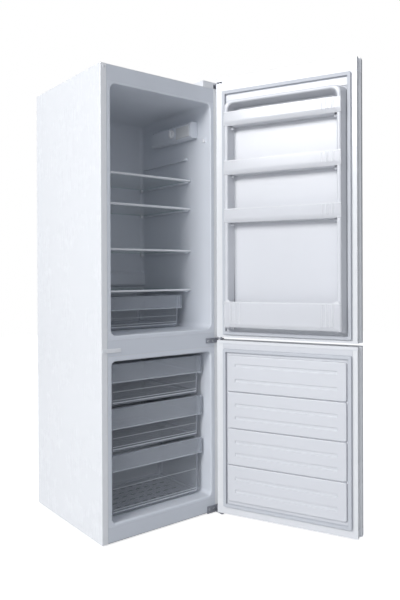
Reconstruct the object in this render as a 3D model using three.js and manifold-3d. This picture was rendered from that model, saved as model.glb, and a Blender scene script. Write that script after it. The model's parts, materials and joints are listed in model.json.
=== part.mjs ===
// A tall two-door fridge-freezer with the freezer below, doors hung on the right and standing open.
// Millimetres, +Z up, the front faces -Y. The doors are built closed and then swung on their pivot.
import * as THREE from "three";
import { mergeVertices } from "three/addons/utils/BufferGeometryUtils.js";
import Module from "manifold-3d";

const wasm = await Module();
wasm.setup();

// ---------------------------------------------------------------- driving dimensions
const GAP = 0.3; // clearance between neighbouring pieces
const SHEET = 1; // steel sheet of the outer case
const WALL = 2; // moulded plastic wall
const PLATE = 1.5; // sheet of a door's inner liner

const CASE = { half: 270, depth: 510, bottom: 8, top: 1670, flange: 24, rearFlange: 12 };
const BAY = { front: 365, roof: 238 }; // compressor bay at the lower rear
const FRAME_HALF = 245.5; // half width of the liners' front flanges and of the rails
const FRAME = { freezerLow: 62, freezerHigh: 656, fridgeLow: 712, fridgeHigh: 1614 };

const FRIDGE = { half: 229, low: 727, high: 1606, rear: 470, radius: 22 };
const FREEZER = { half: 226, low: 74, high: 637, rear: 450, radius: 16 };
const STEP = { rear: 320, top: 275 }; // the freezer is shallower above the compressor bay

const PIVOT = { x: 258.2, y: -26.7, pin: 4, hole: 4.6 };
const OPEN_ANGLE = THREE.MathUtils.degToRad(115); // both doors at rest, from closed
const DOOR = { inner: -11.5, outer: -69.5, chamfer: 5, gripX: 262, gripY: -40 };
const FRIDGE_DOOR = { low: 696, high: 1700, capLow: 10, capHigh: 50 };
const FREEZER_DOOR = { low: 12, high: 684, capLow: 29, capHigh: 11 };
const GASKET = { half: 242.5, width: 13, thick: 10.9 };
const DYKE = {
  baseHalf: 229, topHalf: 216, pocketBase: 195, pocketTop: 203, rise: 50, low: 730, high: 1602, radius: 26,
};

const SHELF_TOPS = [1324, 1209, 1038, 880]; // top of each glass plate
const SPARE_SUPPORT = 1420; // a level with ledges and no shelf
const SHELF = { front: 122, rear: 455, glass: 4, glassHalf: 224, trimHalf: 226 };
const DRAWERS = [
  { low: 470, high: 621, band: 553, rear: 435 },
  { low: 303, high: 462, band: 387, rear: 435 },
  { low: 78, high: 295, band: 235, rear: 312 },
];
const DRAWER = { front: 40, half: 208, rim: 217 };
const CRISPER = { low: 729.5, high: 857, band: 803, front: 148, rear: 450, half: 194, rim: 203 };
const BALCONIES = [
  { low: 1500, high: 1553 },
  { low: 1316, high: 1370 },
  { low: 1135, high: 1188 },
];
const BOTTLE_RACK = { low: 741, high: 838 };
const LIFT_RISE = 56; // how far a balcony's front stands off the door's inner face
const LUG = { reach: 6, height: 10, near: 14, far: 26 }; // near and far stand off the door's inner face
const PANEL = { low: 66, high: 630, rows: 4, baseHalf: 227, topHalf: 224, rise: 9, skin: 6.2 };
const GROOVE = { half: 193, width: 14, depth: 3, shares: [0.3, 0.64], topShares: [0.31, 0.72] };

const HINGE = { half: 11, thick: 3, topArm: 1683, middleArm: 688, bottomArm: 5.5, topBlock: 1681.5 };
const SOCKET_X = 238; // the pin sockets fill each cap's hinge corner from here outwards
const SOCKET_DEEP = 22; // how far a socket reaches past the end of its door
const FOOT = { x: 235, y: 40, stem: 5 };
const ROLLER = { x: 215, y: 470, radius: 12, width: 14 };
const COMPRESSOR = { x: 95, y: 436 };
const COIL = { y: 523, tube: 2.4, half: 205, low: 300, pitch: 100, passes: 12 };
const HOUSING = { inner: 192, outer: 228.4, front: 80, rear: 345, low: 1487, high: 1552 };
const KNOB = { y: 200, z: 1521, radius: 18 };
const LENS = { y0: 92, y1: 168, z0: 1497, z1: 1536, stand: 3 };
const INLET = { x: -232, z: 262, radius: 8, flange: 11, hole: 4, rear: 524 };
const SWITCH = { y: 34, z: 1469, tip: 219.6, halfWide: 4, halfTall: 7, long: 20 };

// ---------------------------------------------------------------- finishes
const FINISHES = {
  whitePaint: { color: 0xf1f3f5, roughness: 0.35, metalness: 0.1 },
  backSteel: { color: 0xb9bdc2, roughness: 0.5, metalness: 0.6 },
  linerWhite: { color: 0xe9ecf0, roughness: 0.4, metalness: 0 },
  trimWhite: { color: 0xf4f6f8, roughness: 0.3, metalness: 0 },
  frameGrey: { color: 0xc9ced6, roughness: 0.45, metalness: 0.1 },
  foam: { color: 0xe3d9b0, roughness: 0.95, metalness: 0 },
  gasket: { color: 0xdfe2e6, roughness: 0.7, metalness: 0 },
  glass: { color: 0xcfe3e0, roughness: 0.05, metalness: 0, opacity: 0.4 },
  milkyPlastic: { color: 0xeef2f6, roughness: 0.3, metalness: 0, opacity: 0.8 },
  clearPlastic: { color: 0xc6d3dc, roughness: 0.2, metalness: 0, opacity: 0.55 },
  steel: { color: 0x8d9299, roughness: 0.35, metalness: 0.9 },
  blackPaint: { color: 0x1d1f22, roughness: 0.5, metalness: 0.2 },
  darkPlastic: { color: 0x3a3d42, roughness: 0.6, metalness: 0 },
  copper: { color: 0xb5714b, roughness: 0.35, metalness: 0.9 },
  lamp: { color: 0xfff4dc, roughness: 0.2, metalness: 0, opacity: 0.7 },
};

// ---------------------------------------------------------------- solids
/** A closed three.js geometry as a manifold-3d solid. */
function solid(geometry) {
  const bare = geometry.clone();
  for (const name of ["normal", "uv"]) if (bare.getAttribute(name)) bare.deleteAttribute(name);
  const merged = mergeVertices(bare, 1e-4);
  return new wasm.Manifold(
    new wasm.Mesh({
      numProp: 3,
      vertProperties: new Float32Array(merged.attributes.position.array),
      triVerts: new Uint32Array(merged.index.array),
    }),
  );
}

/** A manifold-3d solid as a three.js geometry. */
function geometryOf(body) {
  const mesh = body.getMesh();
  const geometry = new THREE.BufferGeometry();
  geometry.setAttribute("position", new THREE.BufferAttribute(mesh.vertProperties, 3));
  geometry.setIndex(new THREE.BufferAttribute(mesh.triVerts, 1));
  const faceted = geometry.toNonIndexed();
  faceted.computeVertexNormals();
  return faceted;
}

const join = (first, ...others) => others.reduce((whole, part) => whole.add(part), first);
const cut = (first, ...others) => others.reduce((whole, part) => whole.subtract(part), first);

/** A box between two corners. */
function box(x0, x1, y0, y1, z0, z1) {
  const geometry = new THREE.BoxGeometry(x1 - x0, y1 - y0, z1 - z0);
  return solid(geometry.translate((x0 + x1) / 2, (y0 + y1) / 2, (z0 + z1) / 2));
}

/** A block whose cross-section changes from one X-Z rectangle at y0 to another at y1 (y0 below y1). */
function taper(y0, near, y1, far) {
  const geometry = new THREE.BoxGeometry(2, 2, 2);
  const at = geometry.getAttribute("position");
  for (let i = 0; i < at.count; i++) {
    const rect = at.getY(i) < 0 ? near : far;
    at.setXYZ(i, rect.half * at.getX(i), at.getY(i) < 0 ? y0 : y1, at.getZ(i) < 0 ? rect.low : rect.high);
  }
  return solid(geometry);
}

/** An outline extruded along one axis: "x" takes (y, z) points, "y" takes (x, z), "z" takes (x, y). */
function prism(axis, outline, from, to) {
  const points = (corners) => corners.map((corner) => new THREE.Vector2(...corner));
  const shape = outline instanceof THREE.Shape ? outline : new THREE.Shape(points(outline));
  const settings = { depth: to - from, bevelEnabled: false, curveSegments: 4 };
  const geometry = new THREE.ExtrudeGeometry(shape, settings);
  const [X, Y, Z] = [new THREE.Vector3(1, 0, 0), new THREE.Vector3(0, 1, 0), new THREE.Vector3(0, 0, 1)];
  const basis = new THREE.Matrix4();
  if (axis === "x") basis.makeBasis(Y, Z, X).setPosition(from, 0, 0);
  if (axis === "y") basis.makeBasis(X, Z, Y.clone().negate()).setPosition(0, to, 0);
  if (axis === "z") basis.makeBasis(X, Y, Z).setPosition(0, 0, from);
  return solid(geometry.applyMatrix4(basis));
}

/** A round bar along one axis, given by its centre line's two other coordinates in X, Y, Z order. */
function rod(axis, radius, [a, b], from, to, sides = 16) {
  const geometry = new THREE.CylinderGeometry(radius, radius, to - from, sides);
  const middle = (from + to) / 2;
  if (axis === "x") geometry.rotateZ(-Math.PI / 2).translate(middle, a, b);
  if (axis === "y") geometry.translate(a, middle, b);
  if (axis === "z") geometry.rotateX(Math.PI / 2).translate(a, b, middle);
  return solid(geometry);
}

/** A body turned on a vertical axis from (radius, height) points, at (x, y). */
function turned(points, x, y, sides = 24, stretch = 1) {
  const geometry = new THREE.LatheGeometry(points.map((p) => new THREE.Vector2(...p)), sides);
  return solid(geometry.rotateX(Math.PI / 2).scale(stretch, 1, 1).translate(x, y, 0));
}

/** A rectangle with rounded corners, as a shape. */
function roundedRect(x0, x1, v0, v1, r) {
  const shape = new THREE.Shape();
  shape.moveTo(x0 + r, v0).lineTo(x1 - r, v0).absarc(x1 - r, v0 + r, r, -Math.PI / 2, 0);
  shape.lineTo(x1, v1 - r).absarc(x1 - r, v1 - r, r, 0, Math.PI / 2);
  shape.lineTo(x0 + r, v1).absarc(x0 + r, v1 - r, r, Math.PI / 2, Math.PI);
  shape.lineTo(x0, v0 + r).absarc(x0 + r, v0 + r, r, Math.PI, 1.5 * Math.PI);
  return shape;
}

/** Puts a solid into a group as a named mesh with a material of its own. */
function place(group, name, finish, body) {
  const { opacity = 1, ...look } = FINISHES[finish];
  const material = new THREE.MeshStandardMaterial({ ...look, opacity, transparent: opacity < 1 });
  const mesh = new THREE.Mesh(geometryOf(body), material);
  mesh.name = name;
  group.add(mesh);
}

// ---------------------------------------------------------------- cabinet
/** A compartment's rounded outline seen from the front, grown all round. */
const cavityOutline = ({ half, low, high }, grow, radius) =>
  roundedRect(-half - grow, half + grow, low - grow, high + grow, radius);

/** The inside of the fridge compartment, grown all round. */
const fridgeSpace = (grow) =>
  prism("y", cavityOutline(FRIDGE, grow, FRIDGE.radius + grow), -1, FRIDGE.rear + grow);

/** The inside of the freezer compartment, grown all round, with its step above the compressor bay. */
const freezerSpace = (grow) =>
  cut(
    prism("y", cavityOutline(FREEZER, grow, FREEZER.radius), -1, FREEZER.rear + grow),
    box(-CASE.half, CASE.half, STEP.rear + grow, CASE.depth, 0, STEP.top - grow),
  );

/** One liner: a thin shell around a space, with a flange at the front frame. */
function linerShell(space, low, high) {
  const flange = box(-FRAME_HALF, FRAME_HALF, 0, 1.5, low, high);
  const inFront = box(-CASE.half, CASE.half, -10, 0, 0, CASE.top);
  return cut(join(cut(space(WALL), inFront), flange), space(0));
}

/** A pair of ledges on the side walls, their top at the given height. */
function ledges(wallHalf, reach, front, rear, top, height) {
  const root = wallHalf + 1;
  return join(
    box(wallHalf - reach, root, front, rear, top - height, top),
    box(-root, reach - wallHalf, front, rear, top - height, top),
  );
}

/** The door switch's button as a bar along X, or the hole for it when grown by some slack. */
function switchBar(x0, x1, slack) {
  const wide = SWITCH.halfWide + slack;
  const tall = SWITCH.halfTall + slack;
  return box(x0, x1, SWITCH.y - wide, SWITCH.y + wide, SWITCH.z - tall, SWITCH.z + tall);
}

function cabinet() {
  const group = new THREE.Group();
  const { half, depth, bottom, top, flange, rearFlange } = CASE;
  const inside = half - SHEET - GAP; // half width between the side panels

  for (const [side, name] of [[-1, "side_panel_left"], [1, "side_panel_right"]]) {
    const outline = [
      [half, 0], [half, depth], [half - rearFlange, depth], [half - rearFlange, depth - SHEET],
      [half - SHEET, depth - SHEET], [half - SHEET, SHEET], [half - flange, SHEET], [half - flange, 0],
    ].map(([x, y]) => [side * x, y]);
    place(group, name, "whitePaint", prism("z", outline, bottom, top));
  }
  const rear = depth - SHEET - GAP;
  place(group, "top_panel", "whitePaint", box(-inside, inside, SHEET + GAP, rear, top - SHEET, top));

  const backOutline = [
    [rear, top - SHEET - GAP], [rear - SHEET, top - SHEET - GAP], [rear - SHEET, BAY.roof + SHEET],
    [BAY.front - SHEET, BAY.roof + SHEET], [BAY.front - SHEET, bottom + 2.5], [BAY.front, bottom + 2.5],
    [BAY.front, BAY.roof], [rear, BAY.roof],
  ];
  place(group, "back_panel", "backSteel", prism("x", backOutline, -inside, inside));

  place(group, "base_tray", "backSteel", baseTray(inside, rear));

  const fridgeLiner = join(
    linerShell(fridgeSpace, FRAME.fridgeLow, FRAME.fridgeHigh),
    ...[...SHELF_TOPS, SPARE_SUPPORT].map((z) =>
      ledges(FRIDGE.half, 12, SHELF.front + 20, 450, z - SHELF.glass - GAP, 8)),
    prism("x", [[471, 955], [452, 947], [452, 893], [471, 886]], -FRIDGE.half - 1, FRIDGE.half + 1),
  );
  place(group, "fridge_liner", "linerWhite", cut(fridgeLiner, switchBar(SWITCH.tip, FRAME_HALF, 0.5)));

  const freezerLiner = join(
    linerShell(freezerSpace, FRAME.freezerLow, FRAME.freezerHigh),
    ...DRAWERS.slice(0, 2).map(({ band }) => ledges(FREEZER.half, 12, 62, 430, band - 1, 8)),
    ledges(FREEZER.half, 12, 62, 305, DRAWERS[2].band - 1, 8),
  );
  place(group, "freezer_liner", "linerWhite", freezerLiner);

  const foam = cut(
    box(GAP - inside, inside - GAP, 12.5, rear - SHEET - GAP, bottom + 4, top - SHEET - GAP),
    fridgeSpace(WALL + GAP),
    freezerSpace(WALL + GAP),
    box(-half, half, BAY.front - SHEET - GAP, depth, 0, BAY.roof + SHEET + GAP),
    switchBar(FRIDGE.half, SWITCH.tip + SWITCH.long + 7, 0.5),
    rod("z", FOOT.stem + 2, [FOOT.x, FOOT.y], 0, 50),
    rod("z", FOOT.stem + 2, [-FOOT.x, FOOT.y], 0, 50),
  );
  place(group, "cabinet_foam", "foam", foam);

  const rails = [
    ["front_rail_top", FRAME.fridgeHigh + GAP, top - SHEET - GAP],
    ["front_rail_middle", FRAME.freezerHigh + GAP, FRAME.fridgeLow - GAP],
    ["front_rail_bottom", bottom + 2.5, FRAME.freezerLow - GAP],
  ];
  for (const [name, low, high] of rails) {
    const outline = [
      [0, low], [11, low], [11, low + SHEET], [SHEET, low + SHEET],
      [SHEET, high - SHEET], [11, high - SHEET], [11, high], [0, high],
    ];
    place(group, name, "frameGrey", prism("x", outline, GAP - FRAME_HALF, FRAME_HALF - GAP));
  }
  blankingPlugs(group);
  return group;
}

/** The floor of the case, with holes for the feet and slots and ears for the rear rollers. */
function baseTray(inside, rear) {
  const { bottom } = CASE;
  const thick = 1.5;
  let tray = box(-inside, inside, SHEET + GAP, rear, bottom, bottom + thick);
  for (const side of [-1, 1]) {
    tray = cut(tray, rod("z", FOOT.stem + 0.6, [side * FOOT.x, FOOT.y], 0, 30));
    const halfSlot = ROLLER.width / 2 + 2;
    const x = side * ROLLER.x;
    tray = cut(tray, box(x - halfSlot, x + halfSlot, ROLLER.y - 15, ROLLER.y + 15, 0, 30));
    for (const ear of [-1, 1]) {
      const at = x + ear * (halfSlot + 1);
      const plate = box(at - 1, at + 1, ROLLER.y - 8, ROLLER.y + 8, bottom + 0.5, bottom + 14);
      tray = cut(join(tray, plate), rod("x", 3.4, [ROLLER.y, ROLLER.radius], at - 2, at + 2));
    }
  }
  return tray;
}

/** Covers of the holes kept for hanging the doors on the left. */
function blankingPlugs(group) {
  place(group, "plug_top_left", "trimWhite", rod("y", 4, [-258, 1659], -2, -GAP, 12));
  const strip = roundedRect(-266, -190, 669, 683, 5);
  place(group, "plug_middle_left", "trimWhite", prism("y", strip, -2.8, -GAP));
}

// ---------------------------------------------------------------- hinges
/** A flat arm from y = back to the pivot, with its pin. */
function hingeArm(low, thick, back, pinLow, pinHigh) {
  const { half } = HINGE;
  return join(
    box(PIVOT.x - half, PIVOT.x + half, PIVOT.y, back, low, low + thick),
    rod("z", half, [PIVOT.x, PIVOT.y], low, low + thick, 24),
    rod("z", PIVOT.pin, [PIVOT.x, PIVOT.y], pinLow, pinHigh, 12),
  );
}

function hinges() {
  const group = new THREE.Group();
  const roof = CASE.top + GAP;
  const { half, thick, topArm, middleArm, bottomArm } = HINGE;
  const topBracket = join(
    box(198, 266, 8, 56, roof, roof + thick),
    box(PIVOT.x - half, 266, 5, 8.5, roof, topArm + thick),
    hingeArm(topArm, thick, 8, CASE.top - 6, topArm + 1),
  );
  place(group, "hinge_top", "steel", topBracket);

  const cover = cut(
    box(193, 268, 1, 64, roof, 1695),
    box(195, 266.5, 3, 62, roof - 1, 1693),
    box(PIVOT.x - half - 1, 271, 0, 9.5, roof - 1, topArm + thick + 2),
  );
  place(group, "hinge_cover", "trimWhite", cover);

  const middle = join(
    box(200, 264, -GAP - thick, -GAP, 672, middleArm + thick),
    hingeArm(middleArm, thick, -GAP, FREEZER_DOOR.high - 10, FRIDGE_DOOR.low + 10),
  );
  place(group, "hinge_middle", "steel", middle);

  const lower = join(
    box(204, 264, -GAP - thick, -GAP, bottomArm, 34),
    hingeArm(bottomArm, thick + 0.5, -GAP, bottomArm, FREEZER_DOOR.low + 13),
    rod("z", 7, [PIVOT.x, PIVOT.y], 1.8, bottomArm + 0.5, 16),
  );
  place(group, "hinge_bottom", "steel", lower);
  return group;
}

// ---------------------------------------------------------------- doors
/** The outline of a door seen from above, set in all round; the free edge has a rebate as a grip. */
function doorOutline(inset) {
  const { half } = CASE;
  const { inner, outer, chamfer, gripX, gripY } = DOOR;
  const i = inset;
  const c = 0.4 * inset;
  return [
    [half - i, inner - i], [half - i, outer + chamfer + c], [half - chamfer - c, outer + i],
    [chamfer + c - half, outer + i], [i - half, outer + chamfer + c], [i - half, gripY - 2 - i],
    [i - gripX, gripY + 2 - i], [i - gripX, inner - i],
  ];
}

/** A moulded end cap: a tray over the end of the door, with a socket block for the hinge pin. */
function endCap(low, high, closedAtTop, blockLow, blockHigh) {
  const hollow = closedAtTop ? [low - 1, high - 2.5] : [low + 2.5, high + 1];
  const block = box(SOCKET_X, CASE.half - 5.5, DOOR.outer + 3, DOOR.inner - 1.5, blockLow, blockHigh);
  return cut(
    join(cut(prism("z", doorOutline(0), low, high), prism("z", doorOutline(2), ...hollow)), block),
    rod("z", PIVOT.hole, [PIVOT.x, PIVOT.y], blockLow - 1, blockHigh + 1, 20),
  );
}

/** The sheet steel skin: the outline as a thin shell, open where the inner liner sits. */
function doorSkin(low, high) {
  return cut(
    prism("z", doorOutline(0), low, high),
    prism("z", doorOutline(SHEET), low - 1, high + 1),
    box(-FRAME_HALF, FRAME_HALF, DOOR.inner - PLATE, 0, low - 1, high + 1),
  );
}

/** The magnetic seal: a square ring between the door and the front frame. */
function gasket(low, high) {
  const { half, width, thick } = GASKET;
  const y0 = DOOR.inner + GAP;
  return cut(
    box(-half, half, y0, y0 + thick, low, high),
    box(width - half, half - width, y0 - 1, y0 + thick + 1, low + width, high - width),
  );
}

/** The rigid insulation that fills a door between its skin and its liner, clear of the pin's socket. */
function doorFoam(skinLow, skinHigh, socketLow, socketHigh) {
  return cut(
    prism("z", doorOutline(SHEET + GAP), skinLow, skinHigh),
    box(-CASE.half, CASE.half, DOOR.inner - PLATE - GAP, 0, 0, FRIDGE_DOOR.high),
    box(SOCKET_X - 1, CASE.half, DOOR.outer, DOOR.inner, socketLow - GAP, socketHigh + GAP),
  );
}

/** The dyke frame of the fridge door, drawn in by a wall's thickness for its hollow. */
function dykeRing(inset, back) {
  const front = DOOR.inner + DYKE.rise - inset;
  const block = taper(
    back,
    { half: DYKE.baseHalf - inset, low: DYKE.low + inset, high: DYKE.high - inset },
    front,
    { half: DYKE.topHalf - inset, low: DYKE.low + 8 + inset, high: DYKE.high - 6 - inset },
  );
  const pocket = taper(
    back - 1,
    { half: DYKE.pocketBase + inset, low: DYKE.low - 20, high: DYKE.high - 24 + inset },
    front + 1,
    { half: DYKE.pocketTop + inset, low: DYKE.low - 20, high: DYKE.high - 18 + inset },
  );
  const corners = roundedRect(
    inset - DYKE.baseHalf, DYKE.baseHalf - inset, DYKE.low + inset, DYKE.high - inset, DYKE.radius - inset,
  );
  return cut(block.intersect(prism("y", corners, back, front)), pocket);
}

/** Small lugs in the pocket on which one balcony rests. */
function lugs(top) {
  const root = DYKE.pocketTop;
  const tip = DYKE.pocketBase - LUG.reach;
  const depth = [DOOR.inner + LUG.near, DOOR.inner + LUG.far, top - LUG.height, top - GAP];
  return join(box(tip, root, ...depth), box(-root, -tip, ...depth));
}

/** Swings a door's closed solids about the hinge pivot. */
function hang(pieces) {
  const group = new THREE.Group();
  for (const [name, finish, body] of pieces) {
    place(group, name, finish, body.translate([-PIVOT.x, -PIVOT.y, 0]));
  }
  group.position.set(PIVOT.x, PIVOT.y, 0);
  group.rotation.z = OPEN_ANGLE;
  return group;
}

function fridgeDoor() {
  const { low, high, capLow, capHigh } = FRIDGE_DOOR;
  const skinLow = low + capLow + GAP;
  const skinHigh = high - capHigh - GAP;
  const socket = [low, low + SOCKET_DEEP - 2];

  const { half, thick, topArm, topBlock } = HINGE;
  const slot = box(PIVOT.x - half - 1.4, CASE.half + 1, DOOR.inner - 44.5, DOOR.inner + 1,
    topBlock, topArm + thick + 1.3);
  const topCap = cut(endCap(high - capHigh, high, true, high - capHigh + 2, topBlock), slot);

  const back = DOOR.inner - PLATE;
  const plate = box(GAP - FRAME_HALF, FRAME_HALF - GAP, back, DOOR.inner, skinLow, skinHigh);
  const balconyLows = [...BALCONIES.map((b) => b.low), BOTTLE_RACK.low];
  const raised = join(plate, dykeRing(0, back + 0.5), ...balconyLows.map(lugs));
  const liner = cut(raised, dykeRing(PLATE, back - 1));
  const foam = join(doorFoam(skinLow, skinHigh, ...socket), dykeRing(PLATE + GAP, back - 1));

  const pieces = [
    ["fridge_door_skin", "whitePaint", doorSkin(skinLow, skinHigh)],
    ["fridge_door_cap_top", "trimWhite", topCap],
    ["fridge_door_cap_bottom", "trimWhite", endCap(low, low + capLow, false, ...socket)],
    ["fridge_door_liner", "linerWhite", liner],
    ["fridge_door_foam", "foam", foam],
    ["fridge_door_gasket", "gasket", gasket(708, 1647)],
  ];
  const reach = DYKE.topHalf + 2.8; // the balconies' fronts pass over the dykes to here
  BALCONIES.forEach((level, i) => {
    pieces.push([`balcony_${i + 1}`, "milkyPlastic", balcony(level, reach, LIFT_RISE, 0)]);
  });
  pieces.push(["bottle_rack", "milkyPlastic", balcony(BOTTLE_RACK, reach + 1.7, LIFT_RISE + 6, 8)]);
  return hang(pieces);
}

/** A door balcony: a tray between the dykes, and a wider front that reaches over them. */
function balcony({ low, high }, half, rise, cheek) {
  const trayHalf = DYKE.pocketBase - 1.5;
  const back = DOOR.inner + 0.5;
  const over = DOOR.inner + DYKE.rise + 0.8; // just clear of the dykes' tops
  const front = DOOR.inner + rise;
  const tray = cut(
    box(-trayHalf, trayHalf, back, front, low, high),
    box(WALL - trayHalf, trayHalf - WALL, back + WALL, front - WALL, low + WALL, high + 1),
    box(-CASE.half, CASE.half, back - 1, back + WALL + 0.1, low + 32, high + 1),
  );
  let body = join(tray, box(-half, half, front - WALL, front, low, high));
  for (const side of [-1, 1]) {
    const [x0, x1] = side < 0 ? [-half, WALL - half] : [half - WALL, half];
    const [c0, c1] = side < 0 ? [-half, -trayHalf + 6] : [trayHalf - 6, half];
    body = join(
      body,
      box(x0, x1, over - 2.2, front, low, high),
      box(c0, c1, front - WALL, front, high - 1, high + cheek + 0.01),
    );
  }
  return body;
}

function freezerDoor() {
  const { low, high, capLow, capHigh } = FREEZER_DOOR;
  const skinLow = low + capLow + GAP;
  const skinHigh = high - capHigh - GAP;
  const socket = [high - SOCKET_DEEP, high];

  const back = DOOR.inner - PLATE;
  const plate = box(GAP - FRAME_HALF, FRAME_HALF - GAP, back, DOOR.inner, skinLow, skinHigh);
  const pitch = (PANEL.high - PANEL.low) / PANEL.rows;
  const crest = DOOR.inner + PANEL.rise;
  const raised = [];
  const grooves = [];
  for (let row = 0; row < PANEL.rows; row++) {
    const z0 = PANEL.low + row * pitch;
    raised.push(
      taper(
        back + 0.5,
        { half: PANEL.baseHalf, low: z0 + 0.5, high: z0 + pitch - 0.5 },
        crest,
        { half: PANEL.topHalf, low: z0 + 2.5, high: z0 + pitch - 2.5 },
      ),
    );
    for (const share of row === PANEL.rows - 1 ? GROOVE.topShares : GROOVE.shares) {
      const low = z0 + share * pitch - GROOVE.width / 2;
      const outline = roundedRect(-GROOVE.half, GROOVE.half, low, low + GROOVE.width, GROOVE.width / 2 - 0.1);
      grooves.push(prism("y", outline, crest - GROOVE.depth, crest + 1));
    }
  }
  const hollow = (grow) => {
    const half = PANEL.topHalf - 4 - grow;
    return box(-half, half, back - 1, crest - PANEL.skin - grow, PANEL.low + 5 + grow, PANEL.high - 5 - grow);
  };
  const liner = cut(join(plate, ...raised), ...grooves, hollow(0));

  return hang([
    ["freezer_door_skin", "whitePaint", doorSkin(skinLow, skinHigh)],
    ["freezer_door_cap_top", "trimWhite", endCap(high - capHigh, high, true, ...socket)],
    ["freezer_door_cap_bottom", "trimWhite", endCap(low, low + capLow, false, low, low + SOCKET_DEEP)],
    ["freezer_door_liner", "linerWhite", liner],
    ["freezer_door_foam", "foam", join(doorFoam(skinLow, skinHigh, ...socket), hollow(GAP))],
    ["freezer_door_gasket", "gasket", gasket(42, 653)],
  ]);
}

// ---------------------------------------------------------------- inside pieces
function shelves() {
  const group = new THREE.Group();
  const { front, rear, glass, glassHalf, trimHalf } = SHELF;
  SHELF_TOPS.forEach((top, i) => {
    const under = top - glass;
    const nosing = [
      [front, top - 10], [front + 18, top - 10], [front + 18, under - GAP], [front + 11.7, under - GAP],
      [front + 11.7, top + 2.5], [front + 2, top + 3], [front, top + 1],
    ];
    place(group, `shelf_glass_${i + 1}`, "glass", box(-glassHalf, glassHalf, front + 12, rear, under, top));
    place(group, `shelf_trim_${i + 1}`, "trimWhite", prism("x", nosing, -trimHalf, trimHalf));
  });
  return group;
}

/** An open bin with a hollow lip along the top of its front, to be pulled from below. */
function bin({ low, high, band, front, rear, half, rim }) {
  const lip = 11;
  const shell = cut(
    box(-half, half, front + lip, rear, low, high),
    box(WALL - half, half - WALL, front + lip + WALL, rear - WALL, low + WALL, high + 1),
  );
  const handle = cut(
    box(-rim, rim, front, front + lip + WALL, band, high),
    box(WALL - rim, rim - WALL, front + WALL, front + lip, band - 1, high - WALL),
  );
  return join(shell, handle);
}

function bins() {
  const group = new THREE.Group();
  place(group, "crisper", "clearPlastic", bin(CRISPER));
  DRAWERS.forEach((drawer, i) => {
    place(group, `freezer_drawer_${i + 1}`, "clearPlastic", bin({ ...DRAWER, ...drawer }));
  });
  return group;
}

/** The thermostat and lamp housing on the right wall, with its lens, bulb and knob. */
function controls() {
  const group = new THREE.Group();
  const { inner, outer, front, rear, low, high } = HOUSING;
  const outline = (i) => [
    [outer + (i ? 1 : 0), low + i], [inner + 8, low + i], [inner + i, low + 7],
    [inner + i, high - 8], [inner + 8, high - i], [outer + (i ? 1 : 0), high - i],
  ];
  const housing = cut(
    prism("y", outline(0), front, rear),
    prism("y", outline(WALL), front + WALL, rear - WALL),
    box(inner - 1, inner + WALL + 1, LENS.y0, LENS.y1, LENS.z0, LENS.z1),
    rod("x", 4.6, [KNOB.y, KNOB.z], inner - 1, inner + 4, 12),
  );
  place(group, "control_housing", "linerWhite", housing);
  const lensBlock = (x1, grow) =>
    box(inner - LENS.stand, x1, LENS.y0 - grow, LENS.y1 + grow, LENS.z0 - grow, LENS.z1 + grow);
  place(group, "lamp_lens", "lamp", join(lensBlock(inner + WALL, -GAP - 0.1), lensBlock(inner - GAP, 3)));
  const bulbAt = [211, 1516];
  place(group, "lamp_bulb", "lamp", join(
    rod("y", 10, bulbAt, LENS.y0 + 12, LENS.y0 + 46, 12),
    rod("y", 6.5, bulbAt, LENS.y0 + 6, LENS.y0 + 58, 12),
    rod("y", 8.5, bulbAt, LENS.y0 + 54, LENS.y0 + 80, 12),
  ));
  const face = inner - GAP - 1;
  place(group, "thermostat_knob", "trimWhite", join(
    rod("x", KNOB.radius, [KNOB.y, KNOB.z], face - 6, face, 24),
    box(face - 13, face - 5, KNOB.y - 3, KNOB.y + 3, KNOB.z - 15, KNOB.z + 15),
    rod("x", 4, [KNOB.y, KNOB.z], face - 1, inner + 12, 12),
  ));
  place(group, "door_switch_button", "trimWhite", switchBar(SWITCH.tip, SWITCH.tip + SWITCH.long, 0));
  return group;
}

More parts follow.
